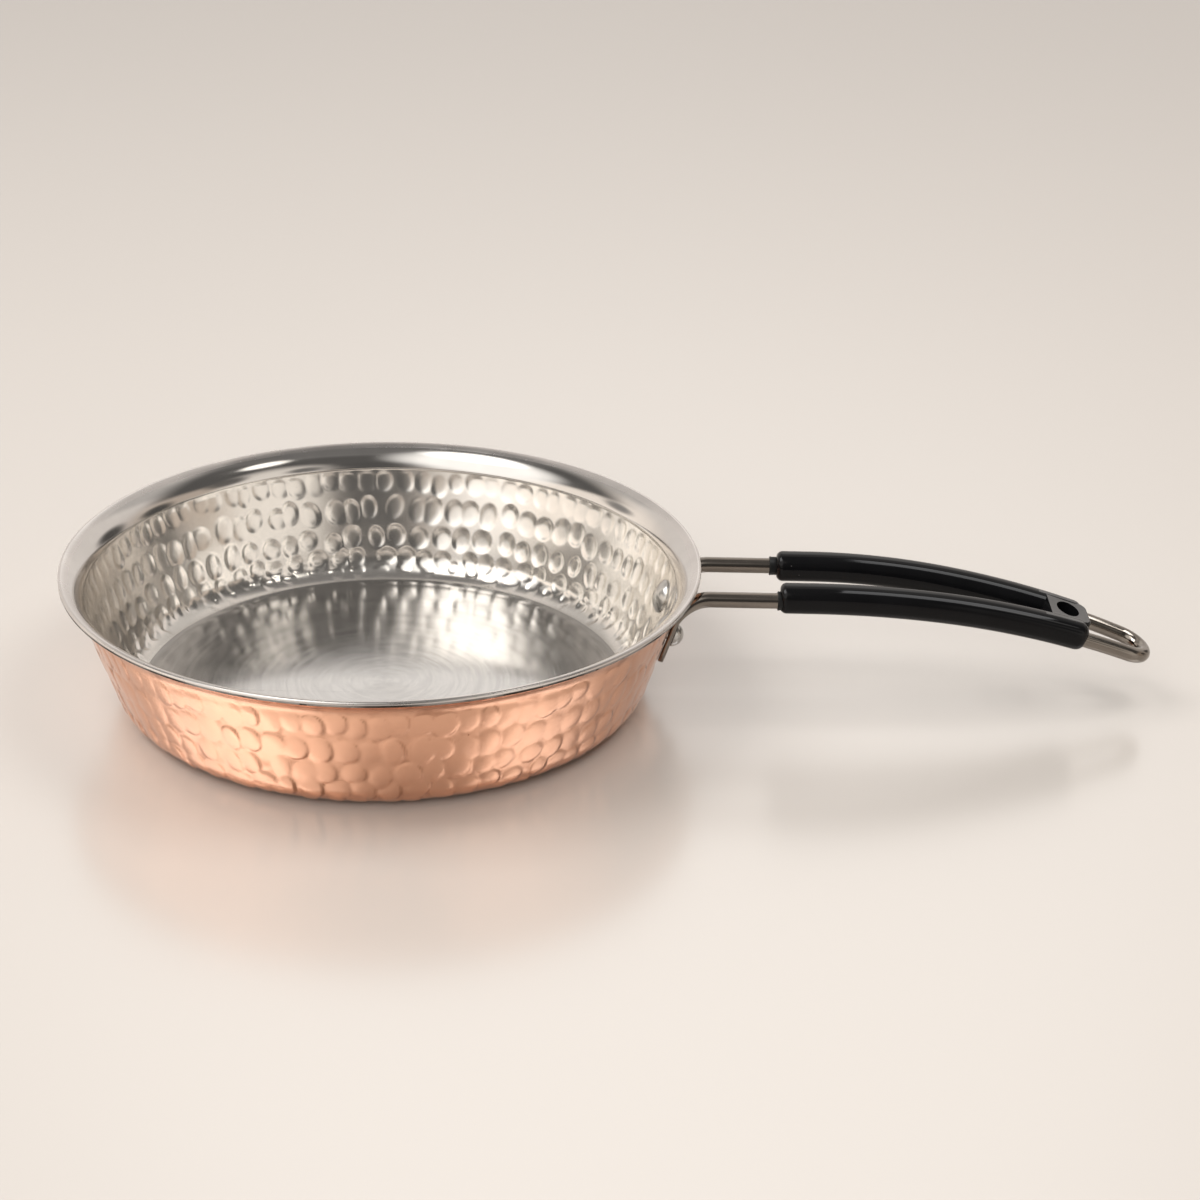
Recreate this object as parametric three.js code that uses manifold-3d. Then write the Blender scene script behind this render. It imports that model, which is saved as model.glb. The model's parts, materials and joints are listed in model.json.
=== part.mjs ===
// Hammered copper frying pan: a copper shell over a steel liner, carried by a bent wire handle with a
// moulded grip. Millimetres, +Z up. The origin is the centre of the base's underside, the handle runs
// along +X, and its two legs lie at equal distances on either side of the XZ plane.
import * as THREE from "three";
import { mergeVertices, toCreasedNormals } from "three/addons/utils/BufferGeometryUtils.js";
import Module from "manifold-3d";

// Pan
const LIP_RADIUS = 120;
const PAN_HEIGHT = 53.5;
const BASE_RADIUS = 88;
const COVE_RADIUS = 14; // outside, between base and wall
const FLARE_RADIUS = 14; // inside face of the flared rim
const LIP_SLOPE = THREE.MathUtils.degToRad(24); // climb that the rim still has at its edge
const STEEL_SHEET = 1;
const COPPER_SHEET = 0.8;
const SHEET_GAP = 0.3; // between liner and shell
const HEM_HEIGHT = 2; // steel edge turned down over the copper

// Wire handle
const WIRE_DIAMETER = 6;
const LEG_SPACING = 32; // centre to centre, where the legs are parallel
const LEG_DROP = 7.2; // from the lip down to the centre of the level legs
const LEVEL_START = 3.5; // beyond the lip, where the legs come level
const LEVEL_LENGTH = 38; // level stretch of each leg
const DROOP_RADIUS = 336; // downward sweep of the handle, seen from the side
const NARROW_RADIUS = 660; // inward sweep of each leg, seen from above
const NARROW_LENGTH = 50; // of that sweep, past which the legs run straight to the eye
const SWEEP_LENGTH = 122.8; // swept stretch of each leg, up to the eye
const TAB_WIDTH = 12;
const TAB_THICKNESS = 2.2;
const TAB_LENGTH = 17.5;
const TAB_SQUARENESS = 5; // power of the tab's section, which is flat with rounded edges
const TAB_DROP = 16; // from the lip down to the top of the flat tab
const TAB_GAP = 0.3; // between tab and shell
const BEND_RISE = 5; // pull of the bend along the wall
const BEND_RUN = 7; // pull of the bend along the leg

// Grip
const ARM_DIAMETER = 11.2;
const ARM_SQUARENESS = 2.3; // power of the arm's section, where 2 is round
const ARM_SHIFT = 1.3; // of the arm's centre from the wire towards the middle plane
const ARM_LIFT = 0.6; // of the arm's centre above the wire
const ARM_START = 29.2; // beyond the lip
const ARM_LENGTH = 117.8; // along the wire
const ARM_MOUTH_ROUND = 2.4;
const ARM_END_ROUND = 4;
const BLOCK_LENGTH = 16;
const BLOCK_OVERHANG = 0.5; // of the block past the ends of the arms
const BLOCK_STEP = 0.2; // of the block's flat top below the crests of the arms
const BLOCK_BEVEL = 0.8;
const HOLE_LENGTH = 8.8;
const HOLE_WIDTH = 12;
const HOLE_SETBACK = 8.6; // of the hole's centre from the block's end
const BORE_CLEARANCE = 0.3; // round the wire

// Sleeves in the mouths of the grip's arms
const SLEEVE_WALL = 0.45;
const SLEEVE_CLEARANCE = 0.2; // round the wire, and again inside the arm
const SLEEVE_DEPTH = 6; // inside the arm
const SLEEVE_FRONT_SHOWN = 1;
const SLEEVE_REAR_SHOWN = 2.6;

// Rivets
const RIVET_DROP = 21.2; // from the lip down to the rivet's centre on the shell
const SHANK_DIAMETER = 5;
const SHANK_CLEARANCE = 0.3;
const INNER_HEAD_DIAMETER = 12.4;
const INNER_HEAD_HEIGHT = 2.8;
const INNER_HEAD_GAP = 0.4; // at the middle of the curved wall
const OUTER_HEAD_DIAMETER = 9;
const OUTER_HEAD_HEIGHT = 3.2;
const OUTER_HEAD_GAP = 0.3;

// Fineness of the faceting
const PAN_SEGMENTS = 80;
const ARC_STEPS = 4;
const WIRE_SIDES = 12;
const ARM_SIDES = 16;
const SWEEP_STEPS = 10;
const BEND_STEPS = 6;
const EYE_STEPS = 5;
const RIVET_SEGMENTS = 20;
const ROUND_STEPS = 3;
const BEVEL_STEPS = 2;
const OUTLINE_STEPS = 8;
const CREASE = THREE.MathUtils.degToRad(36); // edges that turn less are shaded smooth
const WELD = 1e-4;

// Derived places
const ROUND = 2; // squareness of a round section
const WALL = STEEL_SHEET + SHEET_GAP + COPPER_SHEET;
const WIRE_RADIUS = WIRE_DIAMETER / 2;
const LEG_HEIGHT = PAN_HEIGHT - LEG_DROP;
const SWEEP_START = LIP_RADIUS + LEVEL_START + LEVEL_LENGTH;

const wasm = await Module();
wasm.setup();

// A closed geometry as a solid, with its seams welded and the slivers at its poles left out.
function solid(geometry) {
  const bare = new THREE.BufferGeometry();
  bare.setAttribute("position", geometry.getAttribute("position"));
  bare.setIndex(geometry.getIndex());
  const welded = mergeVertices(bare, WELD);
  const corners = welded.getIndex().array;
  const kept = [];
  for (let i = 0; i < corners.length; i += 3) {
    const [a, b, c] = corners.subarray(i, i + 3);
    if (a !== b && b !== c && c !== a) kept.push(a, b, c);
  }
  return new wasm.Manifold(
    new wasm.Mesh({
      numProp: 3,
      vertProperties: welded.getAttribute("position").array,
      triVerts: Uint32Array.from(kept),
    }),
  );
}

// A named mesh from a solid.
function piece(name, body, material) {
  const { vertProperties, triVerts } = body.getMesh();
  const geometry = new THREE.BufferGeometry();
  geometry.setAttribute("position", new THREE.BufferAttribute(vertProperties, 3));
  geometry.setIndex(new THREE.BufferAttribute(triVerts, 1));
  const mesh = new THREE.Mesh(toCreasedNormals(geometry, CREASE), material);
  mesh.name = name;
  return mesh;
}

function metal(color, roughness) {
  return new THREE.MeshStandardMaterial({ color, roughness, metalness: 1 });
}

// A solid turned about +Z from a profile of radius and height points, which runs from the bottom up on
// its outer side.
function turned(profile, segments) {
  return solid(new THREE.LatheGeometry(profile, segments).rotateX(Math.PI / 2));
}

function arcPoints(centreX, centreY, radius, from, to, steps) {
  return Array.from({ length: steps + 1 }, (_, i) => {
    const angle = from + ((to - from) * i) / steps;
    return new THREE.Vector2(centreX + radius * Math.cos(angle), centreY + radius * Math.sin(angle));
  });
}

// A closed tube through a row of stations. Each has a centre, a sideways direction, the half width and
// half height of its section, and the section's squareness.
function loft(stations, sides) {
  const positions = [];
  const index = [];
  const rounded = (value, squareness) => Math.sign(value) * Math.abs(value) ** (2 / squareness);
  stations.forEach((station, i) => {
    const before = stations[Math.max(i - 1, 0)].centre;
    const after = stations[Math.min(i + 1, stations.length - 1)].centre;
    const along = after.clone().sub(before).normalize();
    const up = station.side.clone().cross(along).normalize();
    const side = along.clone().cross(up);
    for (let k = 0; k < sides; k += 1) {
      const angle = (2 * Math.PI * k) / sides;
      const across = rounded(Math.cos(angle), station.squareness) * station.halfWidth;
      const height = rounded(Math.sin(angle), station.squareness) * station.halfHeight;
      const point = station.centre.clone().addScaledVector(side, across).addScaledVector(up, height);
      positions.push(...point);
    }
  });
  for (let i = 0; i + 1 < stations.length; i += 1) {
    for (let k = 0; k < sides; k += 1) {
      const a = i * sides + k;
      const b = i * sides + ((k + 1) % sides);
      index.push(a, a + sides, b, b, a + sides, b + sides);
    }
  }
  const last = (stations.length - 1) * sides;
  const firstCap = positions.length / 3;
  positions.push(...stations[0].centre, ...stations.at(-1).centre);
  for (let k = 0; k < sides; k += 1) {
    const next = (k + 1) % sides;
    index.push(firstCap, k, next, firstCap + 1, last + next, last + k);
  }
  const geometry = new THREE.BufferGeometry();
  geometry.setAttribute("position", new THREE.Float32BufferAttribute(positions, 3));
  geometry.setIndex(index);
  return solid(geometry);
}

// The pan's section: base, cove, straight wall and flared rim. The wall is the common tangent of the
// cove and the flare, and each face of the two sheets is parallel to the inside face.
const COVE_CENTRE = new THREE.Vector2(BASE_RADIUS, COVE_RADIUS);
const EDGE_CENTRE = new THREE.Vector2(LIP_RADIUS - STEEL_SHEET, PAN_HEIGHT - STEEL_SHEET);
const FLARE_CENTRE = new THREE.Vector2(Math.sin(LIP_SLOPE), -Math.cos(LIP_SLOPE))
  .multiplyScalar(FLARE_RADIUS - STEEL_SHEET)
  .add(EDGE_CENTRE);
const CENTRES = FLARE_CENTRE.clone().sub(COVE_CENTRE);
const WALL_LEAN = Math.acos((COVE_RADIUS + FLARE_RADIUS - WALL) / CENTRES.length()) - CENTRES.angle();
const RIM_EDGE = Math.PI / 2 + LIP_SLOPE; // angle on the flare's circle where the rim ends

// One face of the pan from the axis to the rim, at a depth below the cooking surface.
function face(depth, rimAngle) {
  const cove = COVE_RADIUS - WALL + depth;
  const flare = FLARE_RADIUS - depth;
  return [
    new THREE.Vector2(0, WALL - depth),
    ...arcPoints(COVE_CENTRE.x, COVE_CENTRE.y, cove, -Math.PI / 2, -WALL_LEAN, ARC_STEPS),
    ...arcPoints(FLARE_CENTRE.x, FLARE_CENTRE.y, flare, Math.PI - WALL_LEAN, rimAngle, ARC_STEPS),
  ];
}

// A place on the wall: its height on the shell's outside, its distance out from there along the wall's
// normal, and its turn about the pan's axis.
function onWall(height, out, azimuth) {
  const radius =
    COVE_CENTRE.x + COVE_RADIUS / Math.cos(WALL_LEAN) + (height - COVE_CENTRE.y) * Math.tan(WALL_LEAN);
  const shifted = radius + out * Math.cos(WALL_LEAN);
  return new THREE.Vector3(
    shifted * Math.cos(azimuth),
    shifted * Math.sin(azimuth),
    height - out * Math.sin(WALL_LEAN),
  );
}

// A place on the handle: its reach along the wire from where the sweep starts, its distance across from
// the middle plane, and its height above the wire's centre.
function onHandle(reach, across, lift = 0) {
  const turn = Math.max(reach, 0) / DROOP_RADIUS;
  return new THREE.Vector3(
    SWEEP_START + Math.min(reach, 0) + (DROOP_RADIUS + lift) * Math.sin(turn),
    across,
    LEG_HEIGHT - DROOP_RADIUS + (DROOP_RADIUS + lift) * Math.cos(turn),
  );
}

// Distance of a leg's centre from the middle plane: parallel, then an arc, then straight to the eye.
const LEG_SLANT = Math.asin(NARROW_LENGTH / NARROW_RADIUS);
function legOffset(reach) {
  const run = THREE.MathUtils.clamp(reach, 0, NARROW_LENGTH);
  const arc = NARROW_RADIUS - Math.sqrt(NARROW_RADIUS ** 2 - run ** 2);
  return LEG_SPACING / 2 - arc - Math.max(reach - NARROW_LENGTH, 0) * Math.tan(LEG_SLANT);
}

const TAB_TOP = PAN_HEIGHT - TAB_DROP;
const TAB_MIDDLE = TAB_GAP + TAB_THICKNESS / 2;
const TAB_AZIMUTH = Math.asin(LEG_SPACING / 2 / onWall(TAB_TOP, TAB_MIDDLE, 0).x);
const FRONT = -1;
const REAR = 1;

// A station of the wire's round stretches.
function roundStation(centre, side, radius = WIRE_RADIUS) {
  return { centre, side, halfWidth: radius, halfHeight: radius, squareness: ROUND };
}

// The flat tab of the front leg, from its round lower end up.
function tabStations() {
  const half = TAB_WIDTH / 2;
  const side = new THREE.Vector3(-Math.sin(TAB_AZIMUTH), -Math.cos(TAB_AZIMUTH), 0);
  const station = (run, halfWidth) => ({
    centre: onWall(TAB_TOP - (TAB_LENGTH - run) * Math.cos(WALL_LEAN), TAB_MIDDLE, FRONT * TAB_AZIMUTH),
    side,
    halfWidth,
    halfHeight: TAB_THICKNESS / 2,
    squareness: TAB_SQUARENESS,
  });
  const end = arcPoints(half, 0, half, Math.PI, Math.PI / 2, ROUND_STEPS + 1).slice(1);
  return [...end.map((point) => station(point.x, point.y)), station(TAB_LENGTH, half)];
}

// The bend from the tab out to the level leg, where the flat section runs out into the round one.
function bendStations(tabEnd) {
  const start = tabEnd.centre;
  const climb = onWall(TAB_TOP + 1, TAB_MIDDLE, FRONT * TAB_AZIMUTH).sub(start).normalize();
  const end = new THREE.Vector3(LIP_RADIUS + LEVEL_START, -LEG_SPACING / 2, LEG_HEIGHT);
  const curve = new THREE.CubicBezierCurve3(
    start,
    start.clone().addScaledVector(climb, BEND_RISE),
    end.clone().setX(end.x - BEND_RUN),
    end,
  );
  return Array.from({ length: BEND_STEPS }, (_, i) => {
    const t = (i + 1) / BEND_STEPS;
    const ease = THREE.MathUtils.smoothstep(t, 0, 1);
    return {
      centre: curve.getPoint(t),
      side: tabEnd.side.clone().lerp(new THREE.Vector3(0, -1, 0), t),
      halfWidth: THREE.MathUtils.lerp(tabEnd.halfWidth, WIRE_RADIUS, ease),
      halfHeight: THREE.MathUtils.lerp(tabEnd.halfHeight, WIRE_RADIUS, ease),
      squareness: THREE.MathUtils.lerp(tabEnd.squareness, ROUND, ease),
    };
  });
}

// A stretch of the front leg between two reaches, in even steps.
function legStations(from, to, steps, radius = WIRE_RADIUS) {
  const side = new THREE.Vector3(0, -1, 0);
  return Array.from({ length: steps + 1 }, (_, i) => {
    const reach = from + ((to - from) * i) / steps;
    return roundStation(onHandle(reach, -legOffset(reach)), side, radius);
  });
}

// The front half of the eye: an arc that both legs run into, up to the tip on the middle plane.
function eyeStations() {
  const radius = legOffset(SWEEP_LENGTH) / Math.cos(LEG_SLANT);
  const middle = SWEEP_LENGTH - radius * Math.sin(LEG_SLANT);
  const start = LEG_SLANT - Math.PI / 2;
  return Array.from({ length: EYE_STEPS }, (_, i) => {
    const angle = start * (1 - (i + 1) / EYE_STEPS);
    const centre = onHandle(middle + radius * Math.cos(angle), radius * Math.sin(angle));
    return roundStation(centre, centre.clone().sub(onHandle(middle, 0)));
  });
}

// The same station on the other leg.
function mirrored(station) {
  const flip = new THREE.Vector3(1, -1, 1);
  const centre = station.centre.clone().multiply(flip);
  const side = station.side.clone().multiply(flip);
  return { ...station, centre, side };
}

// A cylinder along +X through a leg's level stretch.
function legCylinder(from, to, radius, sign) {
  const profile = [
    new THREE.Vector2(0, from),
    new THREE.Vector2(radius, from),
    new THREE.Vector2(radius, to),
    new THREE.Vector2(0, to),
  ];
  const geometry = new THREE.LatheGeometry(profile, WIRE_SIDES).rotateZ(-Math.PI / 2);
  return solid(geometry.translate(0, (sign * LEG_SPACING) / 2, LEG_HEIGHT));
}

// The rivet's own frame: its axis runs out of the pan along the wall's normal, from the shell's outside.
function atRivet(geometry, sign) {
  const place = onWall(PAN_HEIGHT - RIVET_DROP, 0, sign * TAB_AZIMUTH);
  return geometry
    .rotateX(Math.PI / 2)
    .rotateY(Math.PI / 2 + WALL_LEAN)
    .rotateZ(sign * TAB_AZIMUTH)
    .translate(place.x, place.y, place.z);
}

// Hole for the rivet's shank, through both sheets and the tab and as far again past them.
function rivetHole(sign) {
  const reach = WALL + TAB_GAP + TAB_THICKNESS;
  const drill = new THREE.CylinderGeometry(
    SHANK_DIAMETER / 2 + SHANK_CLEARANCE,
    SHANK_DIAMETER / 2 + SHANK_CLEARANCE,
    4 * reach,
    RIVET_SEGMENTS,
  );
  return solid(atRivet(drill, sign));
}

function drilled(body) {
  return body.subtract(rivetHole(FRONT)).subtract(rivetHole(REAR));
}

function buildLiner() {
  const edge = arcPoints(EDGE_CENTRE.x, EDGE_CENTRE.y, STEEL_SHEET, RIM_EDGE, 0, ROUND_STEPS);
  const hemFoot = PAN_HEIGHT - HEM_HEIGHT;
  const profile = [
    ...face(STEEL_SHEET, RIM_EDGE),
    new THREE.Vector2(EDGE_CENTRE.x, hemFoot),
    new THREE.Vector2(LIP_RADIUS, hemFoot),
    ...edge.reverse(),
    ...face(0, RIM_EDGE).reverse().slice(1),
  ];
  return drilled(turned(profile, PAN_SEGMENTS));
}

// The copper's edge stops short of the liner's hem, which covers it.
function buildShell() {
  const rimAngle = Math.acos((EDGE_CENTRE.x - SHEET_GAP - FLARE_CENTRE.x) / (FLARE_RADIUS - WALL));
  const profile = [...face(WALL, rimAngle), ...face(WALL - COPPER_SHEET, rimAngle).reverse()];
  return drilled(turned(profile, PAN_SEGMENTS));
}

function buildWire() {
  const tab = tabStations();
  const front = [
    ...tab,
    ...bendStations(tab.at(-1)),
    ...legStations(0, SWEEP_LENGTH, SWEEP_STEPS),
    ...eyeStations(),
  ];
  const rear = front.slice(0, -1).reverse().map(mirrored);
  return drilled(loft([...front, ...rear], WIRE_SIDES));
}

// One arm of the grip: a bar round the leg, with a small round at its mouth and a fuller one at its end.
function armStations() {
  const start = ARM_START - LEVEL_START - LEVEL_LENGTH;
  const end = start + ARM_LENGTH;
  const radius = ARM_DIAMETER / 2;
  const station = (reach, inset) => ({
    centre: onHandle(reach, ARM_SHIFT - legOffset(reach), ARM_LIFT),
    side: new THREE.Vector3(0, -1, 0),
    halfWidth: radius - inset,
    halfHeight: radius - inset,
    squareness: ARM_SQUARENESS,
  });
  const round = (size) => arcPoints(size, size, size, -Math.PI / 2, -Math.PI, ROUND_STEPS).reverse();
  const mouth = round(ARM_MOUTH_ROUND).map((point) => station(start + point.x, point.y));
  const tip = round(ARM_END_ROUND).reverse().map((point) => station(end - point.x, point.y));
  const from = start + ARM_MOUTH_ROUND;
  const to = end - ARM_END_ROUND;
  const body = Array.from({ length: SWEEP_STEPS - 1 }, (_, i) => {
    return station(from + ((to - from) * (i + 1)) / SWEEP_STEPS, 0);
  });
  return [...mouth, ...body, ...tip];
}

// A plan outline on the handle, as a slab that is square to the handle at the given reach.
function slab(outline, height, reach, bevel) {
  const geometry = new THREE.ExtrudeGeometry(outline, {
    depth: height - 2 * bevel,
    bevelEnabled: bevel > 0,
    bevelThickness: bevel,
    bevelSize: bevel,
    bevelOffset: -bevel,
    bevelSegments: BEVEL_STEPS,
    curveSegments: OUTLINE_STEPS,
  });
  const place = onHandle(reach, 0, ARM_LIFT);
  geometry.translate(0, 0, bevel - height / 2).rotateY(reach / DROOP_RADIUS);
  return solid(geometry.translate(place.x, place.y, place.z));
}

function buildGrip() {
  const mouth = ARM_START - LEVEL_START - LEVEL_LENGTH;
  const armEnd = mouth + ARM_LENGTH;
  const blockEnd = armEnd + BLOCK_OVERHANG;
  const blockStart = blockEnd - BLOCK_LENGTH;
  const middle = (blockStart + blockEnd) / 2;
  const shoulder = armEnd - ARM_END_ROUND;
  const backHalf = legOffset(blockStart) - ARM_SHIFT;
  const frontHalf = legOffset(shoulder) - ARM_SHIFT;
  const endHalf = frontHalf - ARM_END_ROUND / 2;
  const outline = new THREE.Shape();
  outline.moveTo(blockStart - middle, -backHalf);
  outline.lineTo(shoulder - middle, -frontHalf);
  outline.quadraticCurveTo(blockEnd - middle, -frontHalf, blockEnd - middle, -endHalf);
  outline.lineTo(blockEnd - middle, endHalf);
  outline.quadraticCurveTo(blockEnd - middle, frontHalf, shoulder - middle, frontHalf);
  outline.lineTo(blockStart - middle, backHalf);
  const block = slab(outline, ARM_DIAMETER - 2 * BLOCK_STEP, middle, BLOCK_BEVEL);

  const oval = new THREE.Shape();
  oval.absellipse(0, 0, HOLE_LENGTH / 2, HOLE_WIDTH / 2, 0, 2 * Math.PI);
  const hole = slab(oval, 2 * ARM_DIAMETER, blockEnd - HOLE_SETBACK, 0);

  const arms = armStations();
  const boreRadius = WIRE_RADIUS + BORE_CLEARANCE;
  const boreEnd = blockEnd + ARM_END_ROUND;
  const bores = legStations(0, boreEnd, SWEEP_STEPS, boreRadius);
  bores.unshift(...legStations(mouth - ARM_MOUTH_ROUND, 0, 1, boreRadius).slice(0, 1));
  const socketRadius = WIRE_RADIUS + 2 * SLEEVE_CLEARANCE + SLEEVE_WALL;
  const mouthX = LIP_RADIUS + ARM_START;
  const socket = [mouthX - ARM_MOUTH_ROUND, mouthX + SLEEVE_DEPTH + SLEEVE_CLEARANCE];

  let grip = loft(arms, ARM_SIDES)
    .add(loft(arms.map(mirrored).reverse(), ARM_SIDES))
    .add(block)
    .subtract(hole)
    .subtract(loft(bores, WIRE_SIDES))
    .subtract(loft(bores.map(mirrored).reverse(), WIRE_SIDES));
  for (const sign of [FRONT, REAR]) grip = grip.subtract(legCylinder(...socket, socketRadius, sign));
  return grip;
}

// A sleeve whose bore is cut past both of its ends.
function buildSleeve(shown, sign) {
  const mouthX = LIP_RADIUS + ARM_START;
  const inner = WIRE_RADIUS + SLEEVE_CLEARANCE;
  const outside = legCylinder(mouthX - shown, mouthX + SLEEVE_DEPTH, inner + SLEEVE_WALL, sign);
  return outside.subtract(legCylinder(mouthX - 2 * shown, mouthX + 2 * SLEEVE_DEPTH, inner, sign));
}

// A dome's section from its rim to its crown, standing on a flat seat.
function domePoints(diameter, height) {
  const half = diameter / 2;
  const radius = (half ** 2 + height ** 2) / (2 * height);
  const rim = Math.asin((radius - height) / radius);
  return arcPoints(0, height - radius, radius, rim, Math.PI / 2, ARC_STEPS);
}

function buildRivet(sign) {
  const outerSeat = TAB_GAP + TAB_THICKNESS + OUTER_HEAD_GAP;
  const innerSeat = -WALL - INNER_HEAD_GAP;
  const outer = domePoints(OUTER_HEAD_DIAMETER, OUTER_HEAD_HEIGHT);
  const inner = domePoints(INNER_HEAD_DIAMETER, INNER_HEAD_HEIGHT).reverse();
  const profile = [
    ...inner.map((point) => new THREE.Vector2(point.x, innerSeat - point.y)),
    new THREE.Vector2(SHANK_DIAMETER / 2, innerSeat),
    new THREE.Vector2(SHANK_DIAMETER / 2, outerSeat),
    ...outer.map((point) => new THREE.Vector2(point.x, outerSeat + point.y)),
  ];
  return solid(atRivet(new THREE.LatheGeometry(profile, RIVET_SEGMENTS), sign));
}

const COPPER = metal(0xcf9272, 0.24);
const LINER_STEEL = metal(0xcdc6bc, 0.2);
const WIRE_STEEL = metal(0xb9aea2, 0.16);
const RIVET_STEEL = metal(0xc4beb6, 0.22);
const BLACK_GRIP = new THREE.MeshStandardMaterial({ color: 0x121213, roughness: 0.28, metalness: 0 });
const BLACK_SLEEVE = new THREE.MeshStandardMaterial({ color: 0x0d0d0e, roughness: 0.5, metalness: 0 });

const pan = new THREE.Group();
pan.add(
  piece("copper_shell", buildShell(), COPPER),
  piece("steel_liner", buildLiner(), LINER_STEEL),
  piece("wire_handle", buildWire(), WIRE_STEEL),
  piece("grip", buildGrip(), BLACK_GRIP),
  piece("sleeve_front", buildSleeve(SLEEVE_FRONT_SHOWN, FRONT), BLACK_SLEEVE),
  piece("sleeve_rear", buildSleeve(SLEEVE_REAR_SHOWN, REAR), BLACK_SLEEVE.clone()),
  piece("rivet_front", buildRivet(FRONT), RIVET_STEEL),
  piece("rivet_rear", buildRivet(REAR), RIVET_STEEL.clone()),
);

export default pan;
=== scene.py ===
"""Looks of a hammered copper frying pan with a steel liner and a wire handle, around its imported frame.

Sizes of the pieces are in millimetres and are turned into metres where a mesh is made. A finish reads
Object coordinates, so its places and sizes are in metres.
"""
from __future__ import annotations

import json
import logging
import math
from dataclasses import dataclass, field
from enum import Enum
from typing import Callable, Iterable, Sequence, Union

import bpy
import numpy as np
from mathutils import Matrix, Vector

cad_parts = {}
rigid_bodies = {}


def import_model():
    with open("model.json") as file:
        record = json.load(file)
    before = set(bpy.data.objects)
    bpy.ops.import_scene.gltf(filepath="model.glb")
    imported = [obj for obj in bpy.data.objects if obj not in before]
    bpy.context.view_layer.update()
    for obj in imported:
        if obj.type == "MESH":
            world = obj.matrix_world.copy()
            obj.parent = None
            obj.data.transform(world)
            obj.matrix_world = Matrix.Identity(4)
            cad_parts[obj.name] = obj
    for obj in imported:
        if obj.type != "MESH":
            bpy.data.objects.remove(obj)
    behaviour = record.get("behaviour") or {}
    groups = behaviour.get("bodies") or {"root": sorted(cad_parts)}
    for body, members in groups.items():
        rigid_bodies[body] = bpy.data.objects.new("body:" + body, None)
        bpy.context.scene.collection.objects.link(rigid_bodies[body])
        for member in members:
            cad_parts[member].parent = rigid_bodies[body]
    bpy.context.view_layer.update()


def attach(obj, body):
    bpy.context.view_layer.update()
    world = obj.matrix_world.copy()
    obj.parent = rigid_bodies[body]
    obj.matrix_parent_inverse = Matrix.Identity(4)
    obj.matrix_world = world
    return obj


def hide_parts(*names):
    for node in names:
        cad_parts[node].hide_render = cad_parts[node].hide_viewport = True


MM = 0.001
BODY = "root"
LOG = logging.getLogger("pan")

# How far the rivets sit below the lip
RIVET_DROP = 21.2

Colour = tuple[float, float, float]
Place = tuple[float, float]
Span = tuple[float, float]
Piece = bpy.types.Object
Node = bpy.types.Node
Tree = bpy.types.NodeTree
Socket = bpy.types.NodeSocket
Value = Union[float, Colour, Socket]


class Side(Enum):
    """The two legs of the handle, by the sign of their Y."""

    FRONT = -1
    REAR = 1


class Cut(Enum):
    """How one solid works on another."""

    JOIN = "UNION"
    TAKE = "DIFFERENCE"


class Slot(Enum):
    """The record's material slots."""

    COPPER = "copper"
    LINER = "liner_steel"
    WIRE = "wire_steel"
    GRIP = "black_grip"
    SLEEVE = "black_sleeve"
    RIVET = "rivet_steel"


def smooth(value: np.ndarray, low: float, high: float) -> np.ndarray:
    """Ease from 0 at low to 1 at high."""
    part = np.clip((value - low) / (high - low), 0.0, 1.0)
    return part * part * (3.0 - 2.0 * part)


def arc(centre: Place, radius: float, start: float, end: float, steps: int) -> list[Place]:
    """Points along an arc, in equal steps from one angle to another; angles are in radians."""
    angles = np.linspace(start, end, steps + 1)
    return [(centre[0] + radius * math.cos(a), centre[1] + radius * math.sin(a)) for a in angles]


@dataclass(frozen=True)
class Station:
    """One section of a swept bar."""

    centre: Vector
    across: Vector
    half_width: float
    half_height: float
    squareness: float = 2.0

    @property
    def sizes(self) -> tuple[float, float, float]:
        """Half width, half height and squareness."""
        return self.half_width, self.half_height, self.squareness

    def mirrored(self) -> Station:
        """The same section on the other leg."""
        flip = Vector((1, -1, 1))
        return Station(self.centre * flip, self.across * flip, *self.sizes)


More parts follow.
